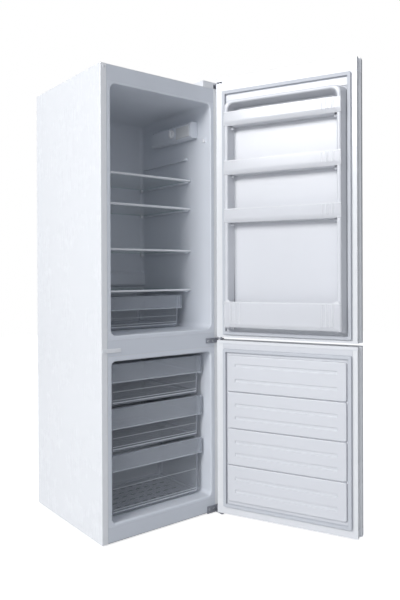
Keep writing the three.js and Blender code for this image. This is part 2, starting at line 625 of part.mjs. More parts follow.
// ---------------------------------------------------------------- underside and rear
function undersideAndRear() {
  const group = new THREE.Group();
  for (const [side, name] of [[-1, "left"], [1, "right"]]) {
    const at = [side * FOOT.x, FOOT.y];
    place(group, `foot_${name}`, "darkPlastic", join(
      rod("z", 15, at, 0, 4, 16),
      rod("z", 9, at, 3.5, CASE.bottom - GAP, 6),
      rod("z", FOOT.stem, at, 6, 42, 12),
    ));
    const axle = [ROLLER.y, ROLLER.radius];
    const x = side * ROLLER.x;
    place(group, `roller_${name}`, "darkPlastic", join(
      rod("x", ROLLER.radius, axle, x - ROLLER.width / 2, x + ROLLER.width / 2, 20),
      rod("x", 3, axle, x - 11.5, x + 11.5, 12),
    ));
  }

  const { x, y } = COMPRESSOR;
  const can = turned(
    [[0, 22], [50, 22], [58, 30], [61, 60], [62, 92], [59, 130], [50, 158], [34, 174], [16, 180], [0, 180]],
    x, y, 24, 1.15,
  );
  let compressor = join(
    can,
    box(x - 78, x + 78, y - 52, y + 52, 20, 24),
    box(x - 92, x - 60, y - 22, y + 22, 66, 112),
  );
  for (const sx of [-1, 1])
    for (const sy of [-1, 1])
      compressor = join(compressor, rod("z", 9, [x + sx * 66, y + sy * 41], CASE.bottom + 1.5 + GAP, 21, 12));
  place(group, "compressor", "blackPaint", compressor);

  const trayLow = 180 + GAP;
  place(group, "drip_tray", "darkPlastic", cut(
    box(x - 80, x + 80, y - 56, y + 56, trayLow, trayLow + 24),
    box(x - 78, x + 78, y - 54, y + 54, trayLow + WALL, trayLow + 30),
  ));
  place(group, "filter_drier", "copper", turned(
    [[0, 92], [3, 92], [3, 104], [10, 116], [10, 190], [3, 202], [3, 214], [0, 214]], -190, 480, 12,
  ));
  place(group, "condenser", "blackPaint", condenser());
  const inlet = [INLET.x, INLET.z];
  place(group, "mains_inlet", "darkPlastic", cut(
    join(
      rod("y", INLET.flange, inlet, CASE.depth - SHEET, CASE.depth + 3, 16),
      rod("y", INLET.radius, inlet, CASE.depth, INLET.rear, 16),
    ),
    rod("y", INLET.hole, inlet, CASE.depth + 1, INLET.rear + 2, 12),
  ));
  return group;
}

/** The serpentine condenser behind the back panel, on four stand-off blocks. */
function condenser() {
  const { y, tube, half, low, pitch, passes } = COIL;
  const radius = pitch / 2;
  const section = new THREE.Shape(
    Array.from({ length: 8 }, (_, i) =>
      new THREE.Vector2(tube * Math.cos((i * Math.PI) / 4), tube * Math.sin((i * Math.PI) / 4))),
  );
  const parts = [];
  for (let pass = 0; pass < passes; pass++) {
    const z = low + pass * pitch;
    parts.push(rod("x", tube, [y, z], -half - 0.5, half + 0.5, 8));
    if (pass === passes - 1) continue;
    const side = pass % 2 ? -1 : 1;
    const bend = Array.from({ length: 9 }, (_, i) => {
      const turn = (i / 8 - 0.5) * Math.PI;
      return new THREE.Vector3(side * (half + radius * Math.cos(turn)), y, z + radius * (1 + Math.sin(turn)));
    });
    const path = new THREE.CatmullRomCurve3(bend);
    const settings = { steps: 8, extrudePath: path, bevelEnabled: false };
    parts.push(solid(new THREE.ExtrudeGeometry(section, settings)));
  }
  const topPass = low + (passes - 1) * pitch;
  for (const z of [low, topPass])
    for (const x of [-180, 180]) parts.push(box(x - 9, x + 9, CASE.depth - SHEET, y + 5, z - 8, z + 8));
  return join(...parts);
}

// ---------------------------------------------------------------- assembly
const assembly = new THREE.Group();
const makers = [
  cabinet, hinges, fridgeDoor, freezerDoor, shelves, bins, controls, undersideAndRear,
];
for (const make of makers) assembly.add(make());

// The origin is the middle of the footprint of the whole object, doors open, on the floor.
assembly.updateMatrixWorld(true);
const bounds = new THREE.Box3().setFromObject(assembly, true);
const middle = bounds.getCenter(new THREE.Vector3());
assembly.position.set(-middle.x, -middle.y, -bounds.min.z);

const fridgeFreezer = new THREE.Group();
fridgeFreezer.add(assembly);

export default fridgeFreezer;
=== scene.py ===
"""The looks of a tall fridge-freezer that stands with both doors open.

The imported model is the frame. Each sub-assembly is a class that builds its pieces in metres and dresses them.
Shapes are drawn in the cabinet's own coordinates: x from its middle, y back from its front, z up from the
floor, with the doors shut. A finished piece is moved to the cabinet's place, and a door's piece is swung out.
"""
import json
import logging
import math
from collections.abc import Callable, Iterable, Sequence
from dataclasses import dataclass
from enum import Enum
from functools import cache

import bmesh
import bpy
from bmesh.types import BMEdge, BMFace, BMVert
from mathutils import Matrix, Vector


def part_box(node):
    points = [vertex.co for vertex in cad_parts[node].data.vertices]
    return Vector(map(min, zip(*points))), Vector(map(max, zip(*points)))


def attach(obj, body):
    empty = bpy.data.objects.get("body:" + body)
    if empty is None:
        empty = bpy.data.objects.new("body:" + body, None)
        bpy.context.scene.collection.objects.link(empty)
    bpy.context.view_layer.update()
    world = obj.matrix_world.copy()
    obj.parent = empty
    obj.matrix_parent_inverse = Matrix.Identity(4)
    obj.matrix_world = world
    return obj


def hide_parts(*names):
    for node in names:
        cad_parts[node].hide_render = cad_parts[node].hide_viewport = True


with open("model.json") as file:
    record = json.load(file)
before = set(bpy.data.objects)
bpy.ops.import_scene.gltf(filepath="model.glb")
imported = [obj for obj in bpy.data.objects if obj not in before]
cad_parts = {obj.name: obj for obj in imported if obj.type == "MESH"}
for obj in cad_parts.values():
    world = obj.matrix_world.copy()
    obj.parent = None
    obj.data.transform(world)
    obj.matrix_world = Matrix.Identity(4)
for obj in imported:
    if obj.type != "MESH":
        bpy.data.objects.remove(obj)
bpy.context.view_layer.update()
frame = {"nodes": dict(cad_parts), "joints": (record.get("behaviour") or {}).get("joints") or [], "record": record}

log = logging.getLogger("fridge_freezer")

Pair = tuple[float, float]
Colour = tuple[float, float, float]

TINY = 1e-5
SHEET = 0.001  # gauge of the painted steel
WALL = 0.002  # wall of the moulded parts


# ---------------------------------------------------------------- axes and places
class Axis(Enum):
    """A direction of the cabinet: X to the right, Y to the back, Z up."""

    X = 0
    Y = 1
    Z = 2

    @property
    def unit(self) -> Vector:
        """The unit vector along this axis."""
        return Vector([1.0 if i == self.value else 0.0 for i in range(3)])

    def point(self, pair: Pair, at: float) -> Vector:
        """The point at a place on this axis, with the other two coordinates in X, Y, Z order."""
        rest = list(pair)
        rest.insert(self.value, at)
        return Vector(rest)


@dataclass(frozen=True)
class Span:
    """A box between its lowest and its highest corner."""

    low: Vector
    high: Vector

    @classmethod
    def between(cls, x: Pair, y: Pair, z: Pair) -> "Span":
        """The box between pairs of coordinates."""
        return cls(Vector((x[0], y[0], z[0])), Vector((x[1], y[1], z[1])))

    @classmethod
    def of(cls, node: str, swing: "Swing | None" = None) -> "Span":
        """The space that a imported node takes, in the cabinet's coordinates.

        Args:
            node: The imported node's name.
            swing: The swing of the door that the node is on, to have its box with the door shut.

        Returns:
            The node's box.
        """
        undo = at_rest(swing).inverted()
        points = [undo @ v.co for v in frame["nodes"][node].data.vertices]
        return cls(*(Vector([pick(p[i] for p in points) for i in range(3)]) for pick in (min, max)))

    @property
    def size(self) -> Vector:
        """The lengths of the box's sides."""
        return self.high - self.low

    @property
    def middle(self) -> Vector:
        """The centre of the box."""
        return (self.low + self.high) / 2

    def shrunk(self, x: Pair = (0, 0), y: Pair = (0, 0), z: Pair = (0, 0)) -> "Span":
        """The box drawn in from its low and high sides.

        Args:
            x: How far the left and right sides move in.
            y: How far the front and back move in.
            z: How far the bottom and top move in.

        Returns:
            The smaller box.
        """
        low = self.low + Vector((x[0], y[0], z[0]))
        return Span(low, self.high - Vector((x[1], y[1], z[1])))


@dataclass(frozen=True)
class Swing:
    """How a door hangs: the line it turns on and how far it stands open at rest."""

    pivot: Vector
    opening: float

    @classmethod
    def of(cls, joint: str) -> "Swing":
        """The swing of a door, from its joint in the frame."""
        found = next(j for j in frame["joints"] if j["name"] == joint)
        return cls(Vector(found["pos_m"]), -math.radians(found["range_deg"][0]))

    @property
    def matrix(self) -> Matrix:
        """What takes a shut door's piece to where it stands at rest."""
        there = Matrix.Translation(self.pivot)
        return there @ Matrix.Rotation(self.opening, 4, "Z") @ there.inverted()


@cache
def cabinet_place() -> Matrix:
    """What takes the cabinet's coordinates to the row's: the middle of its front, on the floor."""
    low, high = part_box("fridge_liner")
    return Matrix.Translation(((low.x + high.x) / 2, low.y, 0.0))


def at_rest(swing: Swing | None) -> Matrix:
    """What takes a shape in the cabinet's coordinates to its place at rest."""
    return cabinet_place() if swing is None else swing.matrix @ cabinet_place()


# ---------------------------------------------------------------- finishes
class Wiring:
    """Nodes and links of one shader tree."""

    def __init__(self, tree: bpy.types.NodeTree) -> None:
        """Takes the tree to wire.

        Args:
            tree: A material's or a group's node tree.
        """
        self.tree = tree

    def add(self, kind: str, inputs: dict | None = None, **settings: object) -> bpy.types.Node:
        """Adds a node.

        Args:
            kind: The node's type.
            inputs: Values or other nodes' outputs, by socket name or number.
            settings: The node's own properties.

        Returns:
            The new node.
        """
        node = self.tree.nodes.new(kind)
        for key, value in settings.items():
            setattr(node, key, value)
        for key, value in (inputs or {}).items():
            if isinstance(value, bpy.types.NodeSocket):
                self.tree.links.new(value, node.inputs[key])
            else:
                node.inputs[key].default_value = value
        return node

    def maths(self, operation: str, *values: object) -> bpy.types.NodeSocket:
        """The result of a Math node on up to three values or sockets."""
        return self.add("ShaderNodeMath", dict(enumerate(values)), operation=operation).outputs[0]


def group_tree(name: str, inputs: dict[str, str], outputs: dict[str, str]) -> tuple[Wiring, dict, dict]:
    """Starts a shader node group.

    Args:
        name: The group's name.
        inputs: Socket types by input name.
        outputs: Socket types by output name.

    Returns:
        The group's wiring, its input sockets and the sockets to feed, both by name.
    """
    tree = bpy.data.node_groups.new(name, "ShaderNodeTree")
    for label, kind in inputs.items():
        tree.interface.new_socket(label, in_out="INPUT", socket_type=kind)
    for label, kind in outputs.items():
        tree.interface.new_socket(label, in_out="OUTPUT", socket_type=kind)
    wiring = Wiring(tree)
    given = {s.name: s for s in wiring.add("NodeGroupInput").outputs if s.name}
    wanted = {s.name: s for s in wiring.add("NodeGroupOutput").inputs if s.name}
    return wiring, given, wanted


@cache
def relief_group() -> bpy.types.NodeTree:
    """A fine relief, such as orange peel on paint or the grain of a moulding, as a normal."""
    wiring, given, wanted = group_tree(
        "fine_relief",
        {"Vector": "NodeSocketVector", "Frequency": "NodeSocketFloat", "Depth": "NodeSocketFloat"},
        {"Normal": "NodeSocketVector"},
    )
    noise = wiring.add(
        "ShaderNodeTexNoise", {"Vector": given["Vector"], "Scale": given["Frequency"], "Detail": 3.0}
    )
    bump = wiring.add("ShaderNodeBump", {"Distance": given["Depth"], "Height": noise.outputs["Fac"]})
    wiring.tree.links.new(bump.outputs["Normal"], wanted["Normal"])
    return wiring.tree


@cache
def mottle_group() -> bpy.types.NodeTree:
    """A colour that strays a little over the surface, as a sprayed or moulded one does."""
    wiring, given, wanted = group_tree(
        "mottle",
        {"Vector": "NodeSocketVector", "Colour": "NodeSocketColor", "Frequency": "NodeSocketFloat",
         "Amount": "NodeSocketFloat"},
        {"Colour": "NodeSocketColor", "Mask": "NodeSocketFloat"},
    )
    noise = wiring.add(
        "ShaderNodeTexNoise", {"Vector": given["Vector"], "Scale": given["Frequency"], "Detail": 4.0}
    )
    stray = wiring.maths("MULTIPLY", wiring.maths("SUBTRACT", noise.outputs["Fac"], 0.5), given["Amount"])
    gain = wiring.maths("ADD", stray, 1.0)
    colour = wiring.add("ShaderNodeVectorMath", {0: given["Colour"], 1: gain}, operation="MULTIPLY")
    wiring.tree.links.new(colour.outputs[0], wanted["Colour"])
    wiring.tree.links.new(noise.outputs["Fac"], wanted["Mask"])
    return wiring.tree


@cache
def handling_group() -> bpy.types.NodeTree:
    """The faint smears and hairlines of use, as a change of roughness."""
    wiring, given, wanted = group_tree(
        "handling",
        {"Vector": "NodeSocketVector", "Roughness": "NodeSocketFloat", "Amount": "NodeSocketFloat"},
        {"Roughness": "NodeSocketFloat"},
    )
    smear = wiring.add("ShaderNodeTexNoise", {"Vector": given["Vector"], "Scale": 9.0, "Detail": 6.0})
    drawn = wiring.add("ShaderNodeMapping", {"Vector": given["Vector"], "Scale": (900.0, 900.0, 14.0)})
    hair = wiring.add("ShaderNodeTexNoise", {"Vector": drawn.outputs[0], "Scale": 1.0, "Detail": 2.0})
    both = wiring.maths("ADD", smear.outputs["Fac"], wiring.maths("MULTIPLY", hair.outputs["Fac"], 0.5))
    stray = wiring.maths("MULTIPLY", wiring.maths("SUBTRACT", both, 0.75), given["Amount"])
    total = wiring.maths("ADD", given["Roughness"], stray)
    limited = wiring.add("ShaderNodeClamp", {"Value": total, "Min": 0.03, "Max": 1.0})
    wiring.tree.links.new(limited.outputs[0], wanted["Roughness"])
    return wiring.tree


@cache
def dust_group() -> bpy.types.NodeTree:
    """Dust that has settled on what faces up, as a mask."""
    wiring, given, wanted = group_tree(
        "settled_dust",
        {"Vector": "NodeSocketVector", "Amount": "NodeSocketFloat"},
        {"Mask": "NodeSocketFloat"},
    )
    facing = wiring.add("ShaderNodeSeparateXYZ", {0: wiring.add("ShaderNodeNewGeometry").outputs["Normal"]})
    up = wiring.add(
        "ShaderNodeMapRange", {"Value": facing.outputs["Z"], "From Min": 0.75, "From Max": 1.0}
    ).outputs[0]
    noise = wiring.add("ShaderNodeTexNoise", {"Vector": given["Vector"], "Scale": 60.0, "Detail": 6.0})
    mask = wiring.maths("MULTIPLY", wiring.maths("MULTIPLY", up, noise.outputs["Fac"]), given["Amount"])
    wiring.tree.links.new(mask, wanted["Mask"])
    return wiring.tree


@dataclass(frozen=True)
class Finish:
    """One surface: its colour and gloss, and the fine relief and marks on it.

    Frequencies are waves in a metre and depths are metres. Clear finishes have an opacity for what faces the
    eye and one for what is seen edge on.
    """

    name: str
    slot: str
    colour: Colour
    roughness: float
    metallic: float = 0.0
    specular: float = 0.5
    grain: float = 900.0
    depth: float = 0.00002
    mottling: float = 0.03
    mottle_size: float = 7.0
    handling: float = 0.06
    dust: float = 0.1
    coat: float = 0.0
    opacity: Pair | None = None
    stretch: tuple[float, float, float] = (1.0, 1.0, 1.0)

    def material(self) -> bpy.types.Material:
        """Builds the material.

        Returns:
            The material, with its Principled shader in the material itself.
        """
        made = bpy.data.materials.new(self.name)
        made.use_nodes = True
        wiring = Wiring(made.node_tree)
        shader = next(n for n in made.node_tree.nodes if n.type == "BSDF_PRINCIPLED")
        where = wiring.add("ShaderNodeTexCoord").outputs["Object"]
        drawn = wiring.add("ShaderNodeMapping", {"Vector": where, "Scale": self.stretch}).outputs[0]
        tone = self._group(
            wiring, mottle_group(), Vector=drawn, Colour=(*self.colour, 1.0), Frequency=self.mottle_size,
            Amount=self.mottling,
        )
        marks = self._group(
            wiring, handling_group(), Vector=where, Roughness=self.roughness, Amount=self.handling
        )
        relief = self._group(wiring, relief_group(), Vector=drawn, Frequency=self.grain, Depth=self.depth)
        dust = self._group(wiring, dust_group(), Vector=where, Amount=self.dust)
        dusted = wiring.add(
            "ShaderNodeMix",
            {0: dust.outputs["Mask"], 6: tone.outputs["Colour"], 7: (0.42, 0.41, 0.39, 1.0)},
            data_type="RGBA",
        )
        link = made.node_tree.links.new
        link(dusted.outputs[2], shader.inputs["Base Color"])
        link(marks.outputs["Roughness"], shader.inputs["Roughness"])
        link(relief.outputs["Normal"], shader.inputs["Normal"])
        shader.inputs["Metallic"].default_value = self.metallic
        shader.inputs["Specular IOR Level"].default_value = self.specular
        shader.inputs["Coat Weight"].default_value = self.coat
        if self.opacity is not None:
            facing = wiring.add("ShaderNodeLayerWeight", {"Blend": 0.35}).outputs["Facing"]
            alpha = wiring.add(
                "ShaderNodeMapRange",
                {"Value": facing, "To Min": self.opacity[0], "To Max": self.opacity[1]},
            )
            link(alpha.outputs[0], shader.inputs["Alpha"])
        return made

    @staticmethod
    def _group(wiring: Wiring, tree: bpy.types.NodeTree, **inputs: object) -> bpy.types.Node:
        """Places a node group and feeds its inputs by name."""
        node = wiring.add("ShaderNodeGroup", node_tree=tree)
        for label, value in inputs.items():
            if isinstance(value, bpy.types.NodeSocket):
                wiring.tree.links.new(value, node.inputs[label])
            else:
                node.inputs[label].default_value = value
        return node


@cache
def dressed(finish: Finish) -> bpy.types.Material:
    """The material of a finish, built once."""
    return finish.material()


ENAMEL = Finish("white_enamel", "white_enamel", (0.88, 0.89, 0.90), 0.27, coat=0.3, grain=420, depth=0.00003,
                mottling=0.012, dust=0.05)
COATED = Finish("coated_sheet", "coated_sheet", (0.50, 0.52, 0.54), 0.42, metallic=0.75, mottling=0.5,
                mottle_size=140, grain=160, depth=0.00004, dust=0.5)
LINER = Finish("liner_plastic", "liner_plastic", (0.74, 0.77, 0.82), 0.34, grain=1400, depth=0.000012)
DOOR_LINER = Finish("door_liner_plastic", "liner_plastic", (0.76, 0.77, 0.80), 0.3, grain=1400,
                    depth=0.000012, mottling=0.015)
MOULDING = Finish("white_moulding", "white_moulding", (0.85, 0.86, 0.88), 0.3, grain=1600, depth=0.00001)
RAIL = Finish("front_rail_paint", "front_rail_paint", (0.70, 0.73, 0.78), 0.38, grain=500, depth=0.00002)
FOAM = Finish("insulation", "insulation", (0.80, 0.72, 0.48), 0.95, grain=700, depth=0.0006, mottling=0.3,
              mottle_size=60, handling=0.0)
SEAL = Finish("seal", "seal", (0.62, 0.64, 0.68), 0.6, grain=2200, depth=0.00002, handling=0.12)
# Painted shade: a darker copy of the seal for its sunken fold, which is the same rubber.
SEAL_SHADE = Finish("seal_fold_painted_shade", "seal", (0.30, 0.32, 0.36), 0.7, grain=2200, depth=0.00002)
GLASS = Finish("shelf_glass", "shelf_glass", (0.60, 0.66, 0.68), 0.05, specular=0.6, mottling=0.0,
               depth=0.0, opacity=(0.07, 0.42), handling=0.03, dust=0.05)
GLASS_EDGE = Finish("shelf_glass_edge", "shelf_glass", (0.50, 0.64, 0.62), 0.12, mottling=0.05,
                    opacity=(0.8, 0.95), depth=0.000005)
SMOKY = Finish("clear_plastic", "clear_plastic", (0.62, 0.66, 0.72), 0.08, specular=0.6, grain=40,
               depth=0.0001, opacity=(0.07, 0.5), mottling=0.04)
# A lighter, more opaque copy of the clear plastic for the lip band and the tubs' rounded corners and small faces:
# partly the lip's own look, partly a painted highlight along the corners.
SMOKY_THICK_HIGHLIGHT = Finish("clear_plastic_thick_and_highlight", "clear_plastic", (0.68, 0.72, 0.78), 0.1, specular=0.6,
                     grain=40, depth=0.0001, opacity=(0.2, 0.75), mottling=0.04)
# Painted highlight: a bright, nearly opaque copy of the clear plastic for the thin beads along the bins' rims, lip
# edge and foot.
SMOKY_HIGHLIGHT = Finish("clear_plastic_painted_highlight", "clear_plastic", (0.88, 0.91, 0.95), 0.1, specular=0.7,
                    grain=300, depth=0.00003, opacity=(0.62, 0.95), mottling=0.04)
MILKY = Finish("balcony_plastic", "balcony_plastic", (0.90, 0.91, 0.94), 0.2, specular=0.55, grain=260,
               depth=0.00004, opacity=(0.66, 0.95), mottling=0.015)
HINGE_STEEL = Finish("hinge_steel", "hinge_steel", (0.36, 0.37, 0.41), 0.4, metallic=0.7, mottling=0.3,
                     mottle_size=90, grain=700, depth=0.00003, stretch=(1.0, 1.0, 6.0), handling=0.2)
SCREW_STEEL = Finish("screw_steel", "hinge_steel", (0.62, 0.63, 0.66), 0.28, metallic=1.0, grain=1500)
BLACK = Finish("black_paint", "black_paint", (0.025, 0.026, 0.03), 0.42, grain=600, depth=0.00006, dust=0.5)
DARK = Finish("dark_moulding", "dark_moulding", (0.05, 0.053, 0.06), 0.55, grain=1100, depth=0.00008,
              dust=0.4)
COPPER = Finish("copper", "copper", (0.72, 0.38, 0.24), 0.3, metallic=1.0, mottling=0.4, mottle_size=110,
                handling=0.25)
BULB_GLASS = Finish("lamp_glass", "lamp_glass", (0.95, 0.93, 0.88), 0.25, opacity=(0.75, 0.95))
# A lighter, more opaque copy of the balcony plastic for the bead, the flutes and the cheeks: the opacity stands
# for their thicker plastic, the lighter colour is a painted highlight.
MILKY_THICK_HIGHLIGHT = Finish("balcony_plastic_thick_and_highlight", "balcony_plastic", (0.94, 0.95, 0.97), 0.18, specular=0.55,
                     grain=260, depth=0.00004, opacity=(0.85, 0.98), mottling=0.015)
FLOOR = Finish("pale_floor", "", (0.66, 0.66, 0.66), 0.6, grain=300, depth=0.00001, dust=0.0)
LENS = Finish("lens_plastic", "lens_plastic", (0.92, 0.93, 0.94), 0.16, opacity=(0.6, 0.92), grain=500)
# Painted shade: near-black for the inside of screw recesses and drain slots that are not cut; it shares the dark
# moulding slot.
SHADOW = Finish("painted_recess_shade", "dark_moulding", (0.012, 0.012, 0.014), 0.8, dust=0.0)


# ---------------------------------------------------------------- shapes
class Form:
    """One shape under way."""

    def __init__(self) -> None:
        """Starts with nothing."""
        self.bm = bmesh.new()

    @classmethod
    def block(cls, span: Span) -> "Form":
        """A box that fills a span."""
        form = cls()
        place = Matrix.Translation(span.middle) @ Matrix.Diagonal((*span.size, 1.0))
        bmesh.ops.create_cube(form.bm, size=1.0, matrix=place)
        return form

    @classmethod
    def of_node(cls, node: str, swing: Swing | None = None) -> "Form":
        """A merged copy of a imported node, in the cabinet's coordinates, with whole flat faces."""
        form = cls()
        form.bm.from_mesh(frame["nodes"][node].data)
        bmesh.ops.transform(form.bm, matrix=at_rest(swing).inverted(), verts=form.bm.verts)
        bmesh.ops.remove_doubles(form.bm, verts=form.bm.verts, dist=TINY)
        bmesh.ops.dissolve_limit(
            form.bm, angle_limit=math.radians(1), verts=form.bm.verts[:], edges=form.bm.edges[:]
        )
        return form

    @classmethod
    def lofted(cls, levels: Sequence[Sequence[Vector]]) -> "Form":
        """Outlines with the same number of corners, joined in order into one closed shape.

        Args:
            levels: The outlines, from one end to the other.

        Returns:
            The closed shape.
        """
        form = cls()
        top = first = form.bm.faces.new([form.bm.verts.new(p) for p in levels[0]])
        for before, level in zip(levels, levels[1:]):
            made = bmesh.ops.extrude_face_region(form.bm, geom=[top], use_keep_orig=True)
            if top is not first:
                bmesh.ops.delete(form.bm, geom=[top], context="FACES_ONLY")
            top = next(g for g in made["geom"] if isinstance(g, BMFace))
            for vert in top.verts:
                nearest = min(range(len(before)), key=lambda i: (Vector(before[i]) - vert.co).length)
                vert.co = level[nearest]
        return form.outward()

    @classmethod
    def plate(cls, outline: Sequence[Pair], across: Axis, start: float, end: float) -> "Form":
        """A flat outline pushed along an axis.

        Args:
            outline: The corners, as the other two coordinates in X, Y, Z order.
            across: The axis to push along.
            start: Where the outline lies on that axis.
            end: Where the push ends.

        Returns:
            The closed plate.
        """
        form = cls()
        face = form.bm.faces.new([form.bm.verts.new(across.point(p, start)) for p in outline])
        made = bmesh.ops.extrude_face_region(form.bm, geom=[face], use_keep_orig=True)
        moved = [g for g in made["geom"] if isinstance(g, BMVert)]
        bmesh.ops.translate(form.bm, vec=across.unit * (end - start), verts=moved)
        return form.outward()

    @classmethod
    def folded(cls, path: Sequence[Pair], along: Axis, start: float, end: float) -> "Form":
        """An open sheet that follows a path and reaches along an axis.

        Args:
            path: The corners of the fold, as the other two coordinates in X, Y, Z order.
            along: The axis the sheet reaches along.
            start: Where it starts on that axis.
            end: Where it ends.

        Returns:
            The sheet, with no thickness yet.
        """
        form = cls()
        verts = [form.bm.verts.new(along.point(p, start)) for p in path]
        edges = [form.bm.edges.new(pair) for pair in zip(verts, verts[1:])]
        made = bmesh.ops.extrude_edge_only(form.bm, edges=edges)
        moved = [g for g in made["geom"] if isinstance(g, BMVert)]
        bmesh.ops.translate(form.bm, vec=along.unit * (end - start), verts=moved)
        return form

    @classmethod
    def rod(cls, start: Vector, end: Vector, radius: float, sides: int = 24) -> "Form":
        """A round bar between two points.

        Args:
            start: The middle of one end.
            end: The middle of the other end.
            radius: The radius.
            sides: How many flats it has.

        Returns:
            The closed bar.
        """
        form = cls()
        line = end - start
        place = Matrix.Translation((start + end) / 2) @ line.to_track_quat("Z", "Y").to_matrix().to_4x4()
        bmesh.ops.create_cone(
            form.bm, cap_ends=True, segments=sides, radius1=radius, radius2=radius, depth=line.length,
            matrix=place,
        )
        return form

    @classmethod
    def turned(cls, profile: Sequence[Pair], foot: Vector, along: Vector, steps: int = 48) -> "Form":
        """A profile turned about an axis.

        Args:
            profile: (radius, height) points from one end of the axis to the other.
            foot: Where height is zero.
            along: The direction of the axis.
            steps: How many flats the turn has.

        Returns:
            The turned shape.
        """
        form = cls()
        verts = [form.bm.verts.new((radius, 0.0, height)) for radius, height in profile]
        edges = [form.bm.edges.new(pair) for pair in zip(verts, verts[1:])]
        bmesh.ops.spin(
            form.bm, geom=verts + edges, axis=(0, 0, 1), cent=(0, 0, 0), angle=2 * math.pi, steps=steps,
            use_merge=True, use_duplicate=False,
        )
        bmesh.ops.remove_doubles(form.bm, verts=form.bm.verts, dist=TINY / 10)
        turn = along.to_track_quat("Z", "Y").to_matrix().to_4x4()
        bmesh.ops.transform(form.bm, matrix=Matrix.Translation(foot) @ turn, verts=form.bm.verts)
        return form.outward()

    @classmethod
    def ring(cls, span: Span, width: float, corner: float) -> "Form":
        """A rectangular ring that lies across Y.

        Args:
            span: The space the ring fills.
            width: How wide its bars are.
            corner: The radius of its outer corners.

        Returns:
            The closed ring.
        """
        form = cls.block(span)
        ends = [f for f in form.bm.faces if abs(f.normal.y) > 0.9]
        bmesh.ops.inset_individual(form.bm, faces=ends, thickness=width, use_even_offset=True)
        bmesh.ops.delete(form.bm, geom=ends, context="FACES")
        bmesh.ops.bridge_loops(form.bm, edges=[e for e in form.bm.edges if e.is_boundary])
        form.outward()
        outer = form.along(Axis.Y, lambda p: abs(p.x - span.middle.x) > span.size.x / 2 - TINY)
        return form.round(outer, corner, 4)

    def outward(self) -> "Form":
        """Turns every face to point out."""
        bmesh.ops.recalc_face_normals(self.bm, faces=self.bm.faces[:])
        return self

    def along(
        self, axis: Axis, test: Callable[[Vector], bool] = lambda _: True, slack: float = 0.999
    ) -> list[BMEdge]:
        """The edges that run along an axis and whose middle passes a test."""
        found = []
        for edge in self.bm.edges:
            line = edge.verts[1].co - edge.verts[0].co
            if line.length > TINY and abs(line.normalized().dot(axis.unit)) > slack:
                if test((edge.verts[0].co + edge.verts[1].co) / 2):
                    found.append(edge)
        return found

    def sharp(self, test: Callable[[Vector], bool] = lambda _: True, degrees: float = 25) -> list[BMEdge]:
        """The edges between two faces that meet at more than an angle, whose middle passes a test."""
        return [
            e for e in self.bm.edges
            if len(e.link_faces) == 2 and e.calc_face_angle(0.0) > math.radians(degrees)
            and test((e.verts[0].co + e.verts[1].co) / 2)
        ]

    def round(self, edges: Iterable[BMEdge], radius: float, segments: int = 3) -> "Form":
        """Rounds edges.

        Args:
            edges: The edges to round.
            radius: The radius.
            segments: How many flats the round has.

        Returns:
            This form.
        """
        bmesh.ops.bevel(
            self.bm, geom=list(edges), offset=radius, offset_type="OFFSET", segments=segments, profile=0.5,
            affect="EDGES", clamp_overlap=True, material=-1,
        )
        return self

    def open(self, test: Callable[[Vector], bool]) -> "Form":
        """Takes away the faces whose middle passes a test."""
        gone = [f for f in self.bm.faces if test(f.calc_center_median())]
        bmesh.ops.delete(self.bm, geom=gone, context="FACES")
        return self

    def wall(self, thickness: float) -> "Form":
        """Gives a sheet a thickness, inwards when it is positive."""
        self.outward()
        bmesh.ops.solidify(self.bm, geom=self.bm.faces[:], thickness=thickness)
        return self

    def thicken_away(self, centre: Vector, thickness: float) -> "Form":
        """Gives a sheet that stands round a centre its thickness, on the side of the centre.

        Args:
            centre: The point that the sheet stands round.
            thickness: How thick it becomes.

        Returns:
            This form.
        """
        self.outward()
        facing = sum(f.normal.dot(f.calc_center_median() - centre) * f.calc_area() for f in self.bm.faces)
        if facing < 0:
            bmesh.ops.reverse_faces(self.bm, faces=self.bm.faces[:])
        bmesh.ops.solidify(self.bm, geom=self.bm.faces[:], thickness=thickness)
        return self

    def slice(self, axis: Axis, at: float) -> "Form":
        """Cuts the faces along a plane, and keeps both sides."""
        everything = [*self.bm.verts, *self.bm.edges, *self.bm.faces]
        bmesh.ops.bisect_plane(
            self.bm, geom=everything, dist=TINY, plane_co=axis.unit * at, plane_no=axis.unit
        )
        return self


def pad(span: Span, across: Axis, corner: float, edge: float, segments: int = 5) -> Form:
    """A block with round corners and softened edges.

    Args:
        span: The space it fills.
        across: The axis that its large corners run along.
        corner: The radius of those four corners.
        edge: The radius of the edges at its two faces.
        segments: How many flats a corner has.

    Returns:
        The closed pad.
    """
    form = Form.block(span)
    if corner > 0:
        form.round(form.along(across), corner, segments)
    if edge > 0:
        form.round(form.sharp(degrees=60), edge, 3)
    return form


def tub(span: Span, corner: float, foot: float, wall: float, lean: float = 0.0) -> Form:
    """An open-topped container with an even wall.

    Args:
        span: The space it fills.
        corner: The radius of its upright corners.
        foot: The radius between its floor and walls.
        wall: How thick it is.
        lean: How far the walls draw in by the floor, as a share of the width.

    Returns:
        The container.
    """
    form = Form.block(span).open(lambda p: p.z > span.high.z - TINY)
    form.round(form.along(Axis.Z), corner, 6)
    form.round(form.sharp(lambda p: p.z < span.low.z + TINY), foot, 4)
    middle = span.middle
    for vert in form.bm.verts:
        drawn = 1 - lean * (span.high.z - vert.co.z) / span.size.z
        vert.co.x = middle.x + (vert.co.x - middle.x) * drawn
    return form.wall(wall)


